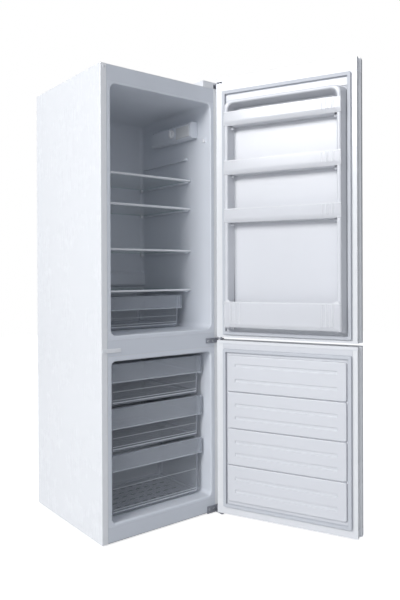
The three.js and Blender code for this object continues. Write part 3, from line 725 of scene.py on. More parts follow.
class Piece:
    """A visible piece: its forms, its finishes and how it rides on the frame."""

    def __init__(self, name: str, body: str, *finishes: Finish) -> None:
        """Starts a piece.

        Args:
            name: The piece's name.
            body: The body of the frame that it rides on.
            finishes: Its finishes; the first is the one of its main surface.
        """
        self.name = name
        self.body = body
        self.finishes = finishes
        self.bm = bmesh.new()

    def add(self, form: Form, finish: Finish | None = None) -> "Piece":
        """Adds a form in one of the piece's finishes.

        Args:
            form: The form, which is used up.
            finish: One of the piece's finishes, or none for the faces' own.

        Returns:
            This piece.
        """
        if finish is not None:
            number = self.finishes.index(finish)
            for face in form.bm.faces:
                face.material_index = number
        store = bpy.data.meshes.new("store")
        form.bm.to_mesh(store)
        form.bm.free()
        self.bm.from_mesh(store)
        bpy.data.meshes.remove(store)
        return self

    def finish(self, *nodes: str, swing: Swing | None = None, edge: float = 0.0, smooth: float = 32) -> None:
        """Makes the object, dresses it and hands it to the frame.

        Args:
            nodes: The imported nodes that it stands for.
            swing: The door's swing, if the piece was built on the shut door.
            edge: The radius of a last softening of its edges.
            smooth: The angle in degrees above which an edge stays sharp in shading.
        """
        bmesh.ops.transform(self.bm, matrix=at_rest(swing), verts=self.bm.verts)
        mesh = bpy.data.meshes.new(self.name)
        self.bm.to_mesh(mesh)
        self.bm.free()
        for finish in self.finishes:
            mesh.materials.append(dressed(finish))
        mesh.shade_smooth()
        mesh.set_sharp_from_angle(angle=math.radians(smooth))
        piece = bpy.data.objects.new(self.name, mesh)
        bpy.context.scene.collection.objects.link(piece)
        if edge > 0:
            bevel = piece.modifiers.new("soft_edges", "BEVEL")
            bevel.width, bevel.segments, bevel.limit_method = edge, 2, "ANGLE"
            bevel.angle_limit, bevel.harden_normals = math.radians(40), True
        weighted = piece.modifiers.new("even_shading", "WEIGHTED_NORMAL")
        weighted.keep_sharp = True
        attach(piece, self.body)
        if nodes:
            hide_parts(*nodes)
        log.info("%s: %d faces", self.name, len(mesh.polygons))


def screw(piece: Piece, at: Vector, facing: Vector, radius: float = 0.0042) -> None:
    """Puts a pan-head screw on a piece, with its cross recess drawn as two thin bars of painted shade.

    Args:
        piece: The piece, which has the screw finish and the painted shade finish for the recess.
        at: The middle of the head's underside.
        facing: The way the head looks.
        radius: The head's radius.
    """
    high = radius * 0.45
    dome = [
        (0.0, 0.0), (radius, 0.0), (radius, high * 0.35), (radius * 0.85, high * 0.8), (radius * 0.5, high),
        (0.0, high),
    ]
    piece.add(Form.turned(dome, at, facing, 20), SCREW_STEEL)
    side = facing.orthogonal().normalized()
    for arm in (side, facing.cross(side)):
        reach = arm * radius * 0.55
        centre = at + facing * (high * 0.94)
        piece.add(Form.rod(centre - reach, centre + reach, radius * 0.13, 4), SHADOW)


def refined(
    node: str, body: str, finish: Finish, radius: float, swing: Swing | None = None, degrees: float = 35,
    others: tuple[Finish, ...] = (),
) -> Piece:
    """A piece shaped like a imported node, with every hard edge rounded.

    Args:
        node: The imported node.
        body: The body that it rides on.
        finish: Its finish.
        radius: The radius of the edges.
        swing: The swing of the door that it is on.
        degrees: The least angle of an edge that is rounded.
        others: The finishes of what is added to it.

    Returns:
        The piece, still to be finished.
    """
    form = Form.of_node(node, swing)
    form.round(form.sharp(degrees=degrees), radius, 2)
    return Piece(f"{node}_finished", body, finish, *others).add(form, finish)


# ---------------------------------------------------------------- the case
@dataclass(frozen=True)
class Case:
    """The painted steel outside: two folded side panels, the top, the back and the base tray."""

    fold: float = 0.003
    frame_half: float = 0.2458
    border: float = 0.03

    def build(self) -> None:
        """Makes the case's pieces."""
        for name in ("side_panel_left", "side_panel_right"):
            self._side(name)
        self._top()
        for name in ("back_panel", "base_tray"):
            refined(name, "cabinet", COATED, 0.0004).finish(name)

    def _side(self, name: str) -> None:
        """Folds a side panel round its front flange and its rear one."""
        span = Span.of(name)
        left = span.middle.x < 0
        outer, inner = (span.low.x, span.high.x) if left else (span.high.x, span.low.x)
        rear_inner = outer + math.copysign(0.012, inner - outer)
        front_inner = math.copysign(self.frame_half, outer)
        path = [
            (front_inner, span.low.y), (outer, span.low.y), (outer, span.high.y), (rear_inner, span.high.y),
        ]
        form = Form.folded(path, Axis.Z, span.low.z, span.high.z)
        form.round(form.along(Axis.Z, lambda p: abs(p.x - outer) < TINY), self.fold, 4)
        form.thicken_away(Vector((0, span.middle.y, span.middle.z)), SHEET)
        Piece(f"{name}_finished", "cabinet", ENAMEL).add(form, ENAMEL).finish(name)

    def _top(self) -> None:
        """Presses the top panel, with a shallow field inside its border."""
        form = Form.block(Span.of("top_panel"))
        top = max(form.bm.faces, key=lambda f: f.calc_center_median().z)
        bmesh.ops.inset_region(form.bm, faces=[top], thickness=self.border, use_even_offset=True)
        bmesh.ops.inset_region(form.bm, faces=[top], thickness=0.004, depth=-0.0006, use_even_offset=True)
        Piece("top_panel_finished", "cabinet", ENAMEL).add(form, ENAMEL).finish("top_panel")


@dataclass(frozen=True)
class FrontFrame:
    """The painted rails round the compartments, and the covers of the spare hinge holes."""

    edge: float = 0.0008

    def build(self) -> None:
        """Makes the rails and the plugs."""
        for level in ("top", "middle", "bottom"):
            name = f"front_rail_{level}"
            form = Form.of_node(name)
            form.round(form.along(Axis.X), self.edge, 2)
            Piece(f"{name}_finished", "cabinet", RAIL).add(form, RAIL).finish(name)
        self._round_plug()
        self._strip_plug()

    def _round_plug(self) -> None:
        """Turns the round cover at the top left."""
        span = Span.of("plug_top_left")
        radius, high = span.size.x / 2, span.size.y
        profile = [
            (0.0, 0.0), (radius, 0.0), (radius, high * 0.35), (radius * 0.86, high * 0.9),
            (radius * 0.7, high), (radius * 0.62, high * 0.8), (0.0, high * 0.8),
        ]
        foot = Vector((span.middle.x, span.high.y, span.middle.z))
        form = Form.turned(profile, foot, Vector((0, -1, 0)), 40)
        Piece("plug_top_left_finished", "cabinet", MOULDING).add(form, MOULDING).finish("plug_top_left")

    def _strip_plug(self) -> None:
        """Makes the long cover at the middle left, with its two caps."""
        span = Span.of("plug_middle_left")
        piece = Piece("plug_middle_left_finished", "cabinet", MOULDING)
        piece.add(pad(span.shrunk(y=(0.0006, 0)), Axis.Y, 0.005, 0.0009), MOULDING)
        for share in (0.2, 0.72):
            foot = Vector((span.low.x + share * span.size.x, span.low.y + 0.0008, span.middle.z))
            button = [(0.0, 0.0), (0.005, 0.0), (0.0046, 0.0006), (0.0, 0.0008)]
            piece.add(Form.turned(button, foot, Vector((0, -1, 0)), 24), MOULDING)
        piece.finish("plug_middle_left")


# ---------------------------------------------------------------- the compartments
@dataclass(frozen=True)
class Compartment:
    """A vacuum-formed compartment: a flange, a rounded mouth, one wall and the ledges on it."""

    node: str
    half: float
    low: float
    high: float
    rear: float
    corner: float
    mouth: float
    step: Pair | None
    ledges: tuple[tuple[float, float, float], ...]
    rib: Pair | None = None
    rib_depth: float = 0.018
    reach: float = 0.012
    seam: float = 0.0006
    bite: float = 0.0008
    ledge_height: float = 0.008
    ledge_corner: float = 0.01
    ledge_edge: float = 0.0018
    rear_corner: float = 0.018
    wall: float = 0.0012

    def build(self) -> None:
        """Makes the compartment."""
        span = Span.of(self.node)
        form = Form.plate(self._section(), Axis.X, -self.half, self.half)
        form.open(lambda p: p.y < TINY)
        mouthward = form.along(Axis.Y, lambda p: p.y < self.rear - 0.05 or p.z < self.low + 0.3)
        form.round(mouthward, self.corner, 6)
        deep = [e for e in form.sharp(degrees=50) if min(v.co.y for v in e.verts) > 0.05]
        form.round(deep, self.rear_corner, 4)
        self._flange(form, span)
        form.outward()
        rear = max(form.bm.faces, key=lambda f: (f.calc_center_median().y, f.calc_area()))
        if rear.normal.y > 0:
            bmesh.ops.reverse_faces(form.bm, faces=form.bm.faces[:])
        bmesh.ops.solidify(form.bm, geom=form.bm.faces[:], thickness=self.wall)
        piece = Piece(f"{self.node}_finished", "cabinet", LINER).add(form, LINER)
        for level, front, back in self.ledges:
            for side in (-1, 1):
                piece.add(self._ledge(side, level, front, back), LINER)
        if self.rib is not None:
            self._rear_rib(piece)
        piece.finish(self.node, smooth=38)

    def _ledge(self, side: int, level: float, front: float, back: float) -> Form:
        """Raises a ledge on a side wall.

        Args:
            side: -1 for the left wall and 1 for the right one.
            level: The height of its top.
            front: Where it starts behind the cabinet's front.
            back: Where it ends.

        Returns:
            The ledge, which reaches a little into the wall.
        """
        wall, tip = side * (self.half + self.bite), side * (self.half - self.reach)
        form = Form.block(Span.between(
            (min(wall, tip), max(wall, tip)), (front, back), (level - self.ledge_height, level)
        ))
        ends = form.along(Axis.Z, lambda p: abs(p.x - tip) < TINY)
        form.round(ends, self.ledge_corner, 5)
        seen = form.sharp(lambda p: abs(p.x - tip) < 0.004 or p.y < front + 0.02)
        return form.round(seen, self.ledge_edge, 2)

    def _rear_rib(self, piece: Piece) -> None:
        """Presses a broad rib across the rear wall."""
        low, high = self.rib
        crest, root = self.rear - self.rib_depth, self.rear + 0.0006
        outline = [(root, high), (crest, high - 0.008), (crest, low + 0.007), (root, low)]
        form = Form.plate(outline, Axis.X, -self.half + 0.001, self.half - 0.001)
        form.round(form.along(Axis.X, lambda p: p.y < self.rear - self.rib_depth / 2), 0.008, 5)
        piece.add(form, LINER)

    def _section(self) -> list[Pair]:
        """The compartment's side view, as (y, z) corners."""
        corners = [(0.0, self.high), (0.0, self.low)]
        if self.step is None:
            return [*corners, (self.rear, self.low), (self.rear, self.high)]
        rear, top = self.step
        return [*corners, (rear, self.low), (rear, top), (self.rear, top), (self.rear, self.high)]

    def _flange(self, form: Form, span: Span) -> None:
        """Carries the mouth out to the flange's rectangle and rolls its lip."""
        rim = [e for e in form.bm.edges if e.is_boundary]
        made = bmesh.ops.extrude_edge_only(form.bm, edges=rim)
        centre = (self.low + self.high) / 2
        for vert in (g for g in made["geom"] if isinstance(g, BMVert)):
            beside = self.half - abs(vert.co.x)
            above = (self.high - self.low) / 2 - abs(vert.co.z - centre)
            if beside < above + TINY:
                vert.co.x = math.copysign(span.size.x / 2 - self.seam, vert.co.x)
            if above < beside + TINY:
                vert.co.z = span.high.z if vert.co.z > centre else span.low.z
        form.round([e for e in rim if e.is_valid and len(e.link_faces) == 2], self.mouth, 4)


# ---------------------------------------------------------------- hinges
@dataclass(frozen=True)
class ScrewRow:
    """A row of screws: the places along X, the other coordinates, the way they look and their size."""

    along: tuple[float, ...]
    y: float
    z: float
    facing: tuple[float, float, float]
    radius: float

    def drive(self, piece: Piece) -> None:
        """Puts the screws on a piece."""
        for x in self.along:
            screw(piece, Vector((x, self.y, self.z)), Vector(self.facing), self.radius)


@dataclass(frozen=True)
class Hinges:
    """The three hinge plates with their pins and screws, and the cover over the top one."""

    edge: float = 0.0008
    cover_edge: float = 0.0009
    top_screws: tuple[float, ...] = (0.012, 0.03, 0.05)  # from the top hinge's left end

    def build(self) -> None:
        """Makes the hinges."""
        left = Span.of("hinge_top").low.x
        rows = {
            "hinge_top": ScrewRow(
                tuple(left + x for x in self.top_screws), 0.04, 1.6733, (0, 0, 1), 0.0035
            ),
            "hinge_middle": ScrewRow((0.211, 0.236), -0.0033, 0.6795, (0, -1, 0), 0.0048),
            "hinge_bottom": ScrewRow((0.214, 0.238), -0.0033, 0.021, (0, -1, 0), 0.0045),
        }
        for name, row in rows.items():
            piece = refined(name, "cabinet", HINGE_STEEL, self.edge, others=(SCREW_STEEL, SHADOW))
            row.drive(piece)
            piece.finish(name)
        refined("hinge_cover", "cabinet", MOULDING, self.cover_edge).finish("hinge_cover")


# ---------------------------------------------------------------- doors
@dataclass(frozen=True)
class Door:
    """What both doors share: the folded skin, the end caps and the seal."""

    body: str
    joint: str
    low: float
    high: float
    cap_low: float
    cap_high: float
    seal_low: float
    seal_high: float
    half: float = 0.27
    inner: float = -0.0115
    outer: float = -0.0695
    grip_x: float = 0.262
    grip_y: float = -0.04
    lip: float = 0.2455
    large_fold: float = 0.006
    small_fold: float = 0.0016
    seal_half: float = 0.2425
    seal_width: float = 0.013
    gap: float = 0.0003

    @property
    def swing(self) -> Swing:
        """How this door hangs."""
        return Swing.of(self.joint)

    @property
    def skin_low(self) -> float:
        """Where the skin starts above the lower cap."""
        return self.low + self.cap_low + self.gap

    @property
    def skin_high(self) -> float:
        """Where the skin ends below the upper cap."""
        return self.high - self.cap_high - self.gap

    def build(self) -> None:
        """Makes the skin, the caps and the seal."""
        self._skin()
        for end in ("top", "bottom"):
            name = f"{self.body}_cap_{end}"
            refined(name, self.body, MOULDING, 0.0016, self.swing, 30).finish(name, swing=self.swing)
        self._seal()

    def _skin(self) -> None:
        """Folds the steel skin round the front, the hinge side and the grip of the free side."""
        half, inner, outer = self.half, self.inner, self.outer
        path = [
            (self.lip, inner), (half, inner), (half, outer), (-half, outer), (-half, self.grip_y - 0.002),
            (-self.grip_x, self.grip_y + 0.002), (-self.grip_x, inner), (-self.lip, inner),
        ]
        form = Form.folded(path, Axis.Z, self.skin_low, self.skin_high)
        form.round(form.along(Axis.Z, lambda p: abs(p.y - outer) < TINY), self.large_fold, 5)
        rest = form.along(Axis.Z, lambda p: abs(p.y - outer) > 0.008 and abs(p.x) > self.lip + TINY)
        folds = [e for e in rest if len(e.link_faces) == 2 and e.calc_face_angle(0.0) > 0.4]
        form.round(folds, self.small_fold, 3)
        form.thicken_away(Vector((0, (inner + outer) / 2, (self.low + self.high) / 2)), SHEET)
        name = f"{self.body}_skin"
        Piece(f"{name}_finished", self.body, ENAMEL).add(form, ENAMEL).finish(name, swing=self.swing)

    def _seal(self) -> None:
        """Builds the seal: a base, a fold and the magnet strip that meets the cabinet. The fold takes a darker
        copy of the seal's finish as painted shade.
        """
        name = f"{self.body}_gasket"
        piece = Piece(f"{name}_finished", self.body, SEAL, SEAL_SHADE)
        start = self.inner + self.gap
        layers = (
            (0.0, 0.0036, 0.0, SEAL), (0.0032, 0.0076, 0.0028, SEAL_SHADE), (0.0072, 0.0109, 0.0006, SEAL),
        )
        for near, far, inset, finish in layers:
            half = self.seal_half - inset
            span = Span.between(
                (-half, half), (start + near, start + far), (self.seal_low + inset, self.seal_high - inset)
            )
            ring = Form.ring(span, self.seal_width - 2 * inset, 0.004)
            if finish is SEAL:
                ring.round(ring.sharp(degrees=60), 0.0011, 2)
            piece.add(ring, finish)
        piece.finish(name, swing=self.swing)

    def panel(self) -> Form:
        """The flat sheet of the door's inner liner."""
        edge = self.lip - self.gap
        return pad(
            Span.between((-edge, edge), (self.inner - 0.0015, self.inner), (self.skin_low, self.skin_high)),
            Axis.Y, 0.002, 0.0,
        )


@dataclass(frozen=True)
class FridgeDoor(Door):
    """The fridge door, with the raised dyke of its liner and the lugs for its balconies."""

    dyke_half: Pair = (0.229, 0.216)
    pocket_half: Pair = (0.195, 0.203)
    dyke_low: Pair = (0.73, 0.738)
    dyke_high: Pair = (1.602, 1.596)
    pocket_high: Pair = (1.578, 1.584)
    rise: float = 0.05
    flare: float = 0.003
    corner: float = 0.024
    pocket_corner: float = 0.022
    crest: float = 0.0056
    rests: tuple[float, ...] = (1.5, 1.316, 1.135, 0.741)
    lug_x: Pair = (0.1885, 0.2025)
    lug_y: Pair = (0.014, 0.026)
    lug_height: float = 0.01

    def build(self) -> None:
        """Makes the door and its liner."""
        super().build()
        piece = Piece("fridge_door_liner_finished", self.body, DOOR_LINER)
        piece.add(self.panel(), DOOR_LINER).add(self._dyke(), DOOR_LINER)
        for rest in self.rests:
            for side in (-1, 1):
                ends = sorted(side * at for at in self.lug_x)
                depth = (self.inner + self.lug_y[0], self.inner + self.lug_y[1])
                lug = Span.between(tuple(ends), depth, (rest - self.lug_height, rest - 0.0004))
                piece.add(pad(lug, Axis.X, 0.0, 0.0015), DOOR_LINER)
        piece.finish("fridge_door_liner", swing=self.swing, smooth=40)

    def _level(self, depth: float, share: float, flare: float) -> list[Vector]:
        """The dyke's outline at a depth, as a share of the way from its base to its crest."""
        outer, pocket, low, high, inner_high = (
            pair[0] + share * (pair[1] - pair[0])
            for pair in (self.dyke_half, self.pocket_half, self.dyke_low, self.dyke_high, self.pocket_high)
        )
        outer, high, pocket, inner_high = outer + flare, high + flare, pocket - flare, inner_high - flare
        corners = [(-outer, low), (-outer, high), (outer, high), (outer, low),
                   (pocket, low), (pocket, inner_high), (-pocket, inner_high), (-pocket, low)]
        return [Vector((x, self.inner + depth, z)) for x, z in corners]

    def _dyke(self) -> Form:
        """Raises the dyke, with a fillet at its foot and a round crest."""
        form = Form.lofted([
            self._level(-0.0008, 0.0, self.flare), self._level(0.0008, 0.0, self.flare * 0.5),
            self._level(self.flare, 0.06, 0.0), self._level(self.rise, 1.0, 0.0),
        ])
        upright = form.along(Axis.Y, slack=0.6)
        outer = [e for e in upright if e.verts[0].co.z > self.dyke_high[1] - 0.005]
        lowest, highest = self.pocket_high[0] - 0.008, self.pocket_high[1] + 0.002
        inner = [e for e in upright if lowest < e.verts[0].co.z < highest]
        form.round(outer, self.corner, 6)
        form.round([e for e in inner if e.is_valid], self.pocket_corner, 6)
        crest = form.sharp(lambda p: p.y > self.inner + self.rise - TINY, 40)
        return form.round(crest, self.crest, 4)


@dataclass(frozen=True)
class FreezerDoor(Door):
    """The freezer door, whose liner has four raised rows with two grooves in each."""

    rows: int = 4
    panel_low: float = 0.066
    panel_high: float = 0.63
    base_half: float = 0.227
    top_half: float = 0.224
    rise: float = 0.009
    groove_half: float = 0.193
    groove_width: float = 0.014
    groove_steps: tuple[Pair, ...] = ((0.0005, -0.0004), (0.0018, -0.0034), (0.001, -0.0004))
    shares: Pair = (0.3, 0.64)
    top_shares: Pair = (0.31, 0.72)

    def build(self) -> None:
        """Makes the door and its liner."""
        super().build()
        piece = Piece("freezer_door_liner_finished", self.body, DOOR_LINER).add(self.panel(), DOOR_LINER)
        for row in range(self.rows):
            piece.add(self._row(row), DOOR_LINER)
        piece.finish("freezer_door_liner", swing=self.swing, smooth=40)

    def _row(self, row: int) -> Form:
        """Raises one row and sinks its grooves."""
        pitch = (self.panel_high - self.panel_low) / self.rows
        low = self.panel_low + row * pitch
        crest = self.inner + self.rise

        def outline(y: float, half: float, inset: float) -> list[Vector]:
            z0, z1 = low + inset, low + pitch - inset
            return [Vector((x, y, z)) for x, z in ((-half, z0), (-half, z1), (half, z1), (half, z0))]

        form = Form.lofted([
            outline(self.inner - 0.0008, self.base_half, 0.0004), outline(crest, self.top_half, 0.0022)
        ])
        form.round(form.along(Axis.Y, slack=0.6), 0.007, 4)
        form.round(form.sharp(lambda p: p.y > crest - TINY, 40), 0.0028, 3)
        for share in self.top_shares if row == self.rows - 1 else self.shares:
            middle = low + share * pitch
            for at in (middle - self.groove_width / 2, middle + self.groove_width / 2):
                form.slice(Axis.Z, at)
            for at in (-self.groove_half, self.groove_half):
                form.slice(Axis.X, at)
            floor = min(
                (f for f in form.bm.faces if f.calc_center_median().y > crest - TINY),
                key=lambda f: (f.calc_center_median() - Vector((0, crest, middle))).length,
            )
            for inset, depth in self.groove_steps:
                bmesh.ops.inset_region(
                    form.bm, faces=[floor], thickness=inset, depth=depth, use_even_offset=True
                )
        return form


@dataclass(frozen=True)
class Balcony:
    """A door balcony: a tray between the dykes and a bowed front that reaches over them."""

    node: str
    low: float
    high: float
    reach: float = 0.2188
    rise: float = 0.056
    cheek: float = 0.0
    inner: float = -0.0115
    tray_half: float = 0.1935
    wall: float = WALL
    dyke: float = 0.05
    clearance: float = 0.0006
    below_rim: float = 0.006
    behind_front: float = 0.0085
    back_height: float = 0.03
    bow: float = 0.0035
    tuck: float = 0.018
    tuck_in: float = 0.006
    tuck_cuts: int = 5
    steps: int = 16
    flute: float = 0.0011
    flutes: tuple[float, ...] = (0.152, 0.166, 0.171, 0.186, 0.191)
    hinge: str = "fridge_door_hinge"

    def build(self) -> None:
        """Makes the balcony."""
        swing = Swing.of(self.hinge)
        piece = Piece(f"{self.node}_finished", self.node, MILKY, MILKY_THICK_HIGHLIGHT)
        back, front = self.inner + self.clearance, self.inner + self.rise
        brim = self.high - self.below_rim
        tray = Form.block(Span.between(
            (-self.tray_half, self.tray_half), (back, front - self.behind_front), (self.low, brim)
        )).open(lambda p: p.z > brim - TINY)
        tray.round(tray.along(Axis.Z), 0.005, 4)
        tray.round(tray.sharp(lambda p: p.z < self.low + TINY), 0.006, 4).wall(self.wall)
        for vert in tray.bm.verts:
            if vert.co.y < back + 0.006:
                vert.co.z = min(vert.co.z, self.low + self.back_height)
        piece.add(tray, MILKY)
        piece.add(self._front(), MILKY)
        # The bead along the top is drawn in the lighter copy as a painted highlight line.
        bead = self._bar(self.high - 0.0034, self.high - 0.0002, 0.0, 0.0028)
        bead.round(bead.sharp(degrees=60), 0.0009, 2)
        piece.add(bead, MILKY_THICK_HIGHLIGHT)
        self._flutes(piece, front)
        if self.cheek > 0:
            self._cheeks(piece, front)
        piece.finish(self.node, swing=swing, smooth=40)

    def _bowed(self, x: float, front: float) -> float:
        """Where the bowed front lies at a distance from the middle."""
        return front - self.bow * (x / self.reach) ** 2

    def _bar(self, low: float, high: float, inset: float, thick: float) -> Form:
        """Folds a bowed bar over the dykes, with a round corner and a short return at each end."""
        half, over = self.reach - inset, self.inner + self.dyke - 0.0012
        front = self.inner + self.rise - inset
        stations = [half * (2 * i / self.steps - 1) for i in range(self.steps + 1)]
        path = [(-half, over), *((x, self._bowed(x, front)) for x in stations), (half, over)]
        form = Form.folded(path, Axis.Z, low, high)
        corners = form.along(Axis.Z, lambda p: abs(p.x) > half - TINY and p.y > over + 0.001)
        form.round(corners, min(0.009, self.rise - self.dyke), 5)
        return form.thicken_away(Vector((0, self.inner - 0.5, high)), thick)

    def _front(self) -> Form:
        """Makes the bar, and tucks its lower edge in towards the tray."""
        form = self._bar(self.low, self.high - 0.0032, 0.0004, self.wall)
        for number in range(1, self.tuck_cuts + 1):
            form.slice(Axis.Z, self.low + self.tuck * number / self.tuck_cuts)
        for vert in form.bm.verts:
            share = 1 - min(1.0, (vert.co.z - self.low) / self.tuck)
            if abs(vert.co.x) < self.reach - 0.012:
                vert.co.y -= self.tuck_in * share ** 2
        return form

    def _flutes(self, piece: Piece, front: float) -> None:
        """Adds the upright flutes near the free end, and on the rack near both, in the lighter copy that paints
        them as highlight lines.
        """
        for side in (-1, 1) if self.cheek > 0 else (-1,):
            for at in self.flutes:
                y = self._bowed(at, front) - 0.0005
                ends = [Vector((side * at, y, z)) for z in (self.low + self.tuck * 0.8, self.high - 0.0045)]
                piece.add(Form.rod(*ends, self.flute, 10), MILKY_THICK_HIGHLIGHT)

    def _cheeks(self, piece: Piece, front: float) -> None:
        """Sweeps the front's ends up."""
        for side in (-1, 1):
            outer, near = side * (self.reach - 0.01), side * (self.tray_half - 0.006)
            base, top = self.high - 0.003, self.high + self.cheek - 0.0002
            outline = [(outer, base), (outer, top), (outer - side * 0.012, top), (near, base)]
            near_y = self._bowed(outer, front)
            cheek = Form.plate(outline, Axis.Y, near_y - 0.0024, near_y - 0.0004)
            cheek.round(cheek.along(Axis.Y, lambda p: p.z > top - TINY), 0.006, 5)
            cheek.round(cheek.sharp(degrees=60), 0.0007, 2)
            piece.add(cheek, MILKY_THICK_HIGHLIGHT)


# ---------------------------------------------------------------- inside pieces
@dataclass(frozen=True)
class Shelf:
    """A glass shelf with its front trim."""

    number: int
    edge: float = 0.0008
    clip_x: Pair = (0.2035, 0.2155)

    def build(self) -> None:
        """Makes the glass and the trim."""
        name = f"shelf_glass_{self.number}"
        glass = pad(Span.of(name), Axis.Z, 0.004, self.edge)
        for face in glass.bm.faces:
            face.material_index = 0 if abs(face.normal.z) > 0.9 else 1
        body = frame_body(name)
        Piece(f"{name}_finished", body, GLASS, GLASS_EDGE).add(glass).finish(name)
        top = Span.of(name).high.z
        name = f"shelf_trim_{self.number}"
        trim = Span.of(name)
        front = trim.low.y
        nosing = [
            (front, top - 0.0038), (front + 0.003, top - 0.0058), (front + 0.014, top - 0.0058),
            (front + 0.014, top - 0.0043), (front + 0.0117, top - 0.0043), (front + 0.0117, top + 0.0018),
            (front + 0.0026, top + 0.0024), (front, top + 0.0006),
        ]
        form = Form.plate(nosing, Axis.X, trim.low.x, trim.high.x)
        form.round(form.along(Axis.X), self.edge, 3)
        form.round(form.sharp(lambda p: abs(p.x) > trim.high.x - TINY), self.edge, 2)
        piece = Piece(f"{name}_finished", body, MOULDING).add(form, MOULDING)
        rear = Span.of(f"shelf_glass_{self.number}").high.y
        for side in (-1, 1):
            ends = sorted(side * at for at in self.clip_x)
            clip = Span.between(tuple(ends), (rear - 0.012, rear + 0.0004), (top - 0.0165, top - 0.0025))
            piece.add(pad(clip, Axis.X, 0.003, 0.001), MOULDING)
        piece.finish(name)


def frame_body(node: str) -> str:
    """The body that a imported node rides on."""
    return next(name for name, nodes in frame["record"]["behaviour"]["bodies"].items() if node in nodes)


@dataclass(frozen=True)
class Bin:
    """A clear bin: a tub with a wide hollow lip along the top of its front."""

    node: str
    half: float
    band: float
    slots: bool = False
    corner: float = 0.012
    foot: float = 0.01
    lean: float = 0.02
    lip: float = 0.011
    lip_corner: float = 0.006
    lip_edge: float = 0.003
    wall: float = WALL
    slot_rows: int = 5
    slot_columns: int = 8
    slot_pitch: float = 0.04
    slot_start: float = 0.05
    slot_stagger: float = 0.01
    slot_size: Pair = (0.022, 0.0044)

    def build(self) -> None:
        """Makes the bin."""
        span = Span.of(self.node)
        # Painted shade for the drain slots, which are dark pads and not holes.
        painted_recess_shade = (SHADOW,) if self.slots else ()
        piece = Piece(f"{self.node}_finished", self.node, SMOKY, SMOKY_THICK_HIGHLIGHT, SMOKY_HIGHLIGHT, *painted_recess_shade)
        body = Span(
            Vector((-self.half, span.low.y + self.lip, span.low.z)), Vector((self.half, *span.high.yz))
        )
        shell = tub(body, self.corner, self.foot, self.wall, self.lean)
        # Big flat faces take the plain clear plastic; rounded corners and small faces take the lighter copy, a
        # painted highlight along the edges.
        for face in shell.bm.faces:
            plain = max(abs(value) for value in face.normal) > 0.985
            face.material_index = 0 if plain and face.calc_area() > 0.002 else 1
        piece.add(shell)
        band = Span.between(
            (-self.rim, self.rim), (span.low.y, span.low.y + self.lip + self.wall), (self.band, span.high.z)
        )
        form = Form.block(band).open(lambda p: p.z < self.band + TINY)
        form.round(form.along(Axis.Z, lambda p: p.y < band.low.y + TINY), self.lip_corner, 5)
        form.round(form.sharp(lambda p: p.z > band.high.z - TINY), self.lip_edge, 3).wall(self.wall)
        piece.add(form, SMOKY_THICK_HIGHLIGHT)
        self._beads(piece, body, band)
        piece.finish(self.node, smooth=40)

    @property
    def rim(self) -> float:
        """Half the width of the lip."""
        return Span.of(self.node).high.x

    def _beads(self, piece: Piece, body: Span, band: Span) -> None:
        """Adds the thicker rim and foot lines, drawn in a bright, nearly opaque copy of the clear plastic as
        painted highlight.
        """
        low_edge = Span.between(
            (-self.rim + 0.003, self.rim - 0.003), (band.low.y + 0.0004, band.low.y + 0.003),
            (self.band + 0.0002, self.band + 0.0035),
        )
        piece.add(pad(low_edge, Axis.X, 0.0, 0.0012), SMOKY_HIGHLIGHT)
        lines = ((0.0105, 0.0016), (0.019, 0.001), (0.6 * (self.band - body.low.z), 0.0007))
        for height, thick in lines:
            z = body.low.z + height
            reach = self.half * 0.985 - 0.012
            line = Span.between(
                (-reach, reach), (body.low.y - 0.0006, body.low.y + 0.0012), (z - thick, z + thick)
            )
            piece.add(pad(line, Axis.X, 0.0, 0.0005), SMOKY_HIGHLIGHT)
        if self.slots:
            self._slots(piece, body)
        for side in (-1, 1):
            x = side * (self.half - 0.0012)
            rim = Span.between(
                (min(x, x - side * 0.003), max(x, x - side * 0.003)),
                (body.low.y + 0.012, body.high.y - 0.012), (body.high.z - 0.0042, body.high.z - 0.0002),
            )
            piece.add(pad(rim, Axis.Y, 0.0, 0.001), SMOKY_HIGHLIGHT)

    def _slots(self, piece: Piece, body: Span) -> None:
        """Marks the rows of drain slots in the floor as thin dark pads of painted shade, not holes."""
        floor = body.low.z + self.wall
        long, wide = self.slot_size[0] / 2, self.slot_size[1] / 2
        for row in range(self.slot_rows):
            for column in range(self.slot_columns):
                x = self.slot_pitch * (column - 3.5) + (self.slot_stagger if row % 2 else 0.0)
                y = body.low.y + self.slot_start + self.slot_pitch * row
                slot = Span.between(
                    (x - long, x + long), (y - wide, y + wide), (floor - 0.0006, floor + 0.0003)
                )
                piece.add(pad(slot, Axis.Z, 0.002, 0.0, 3), SHADOW)


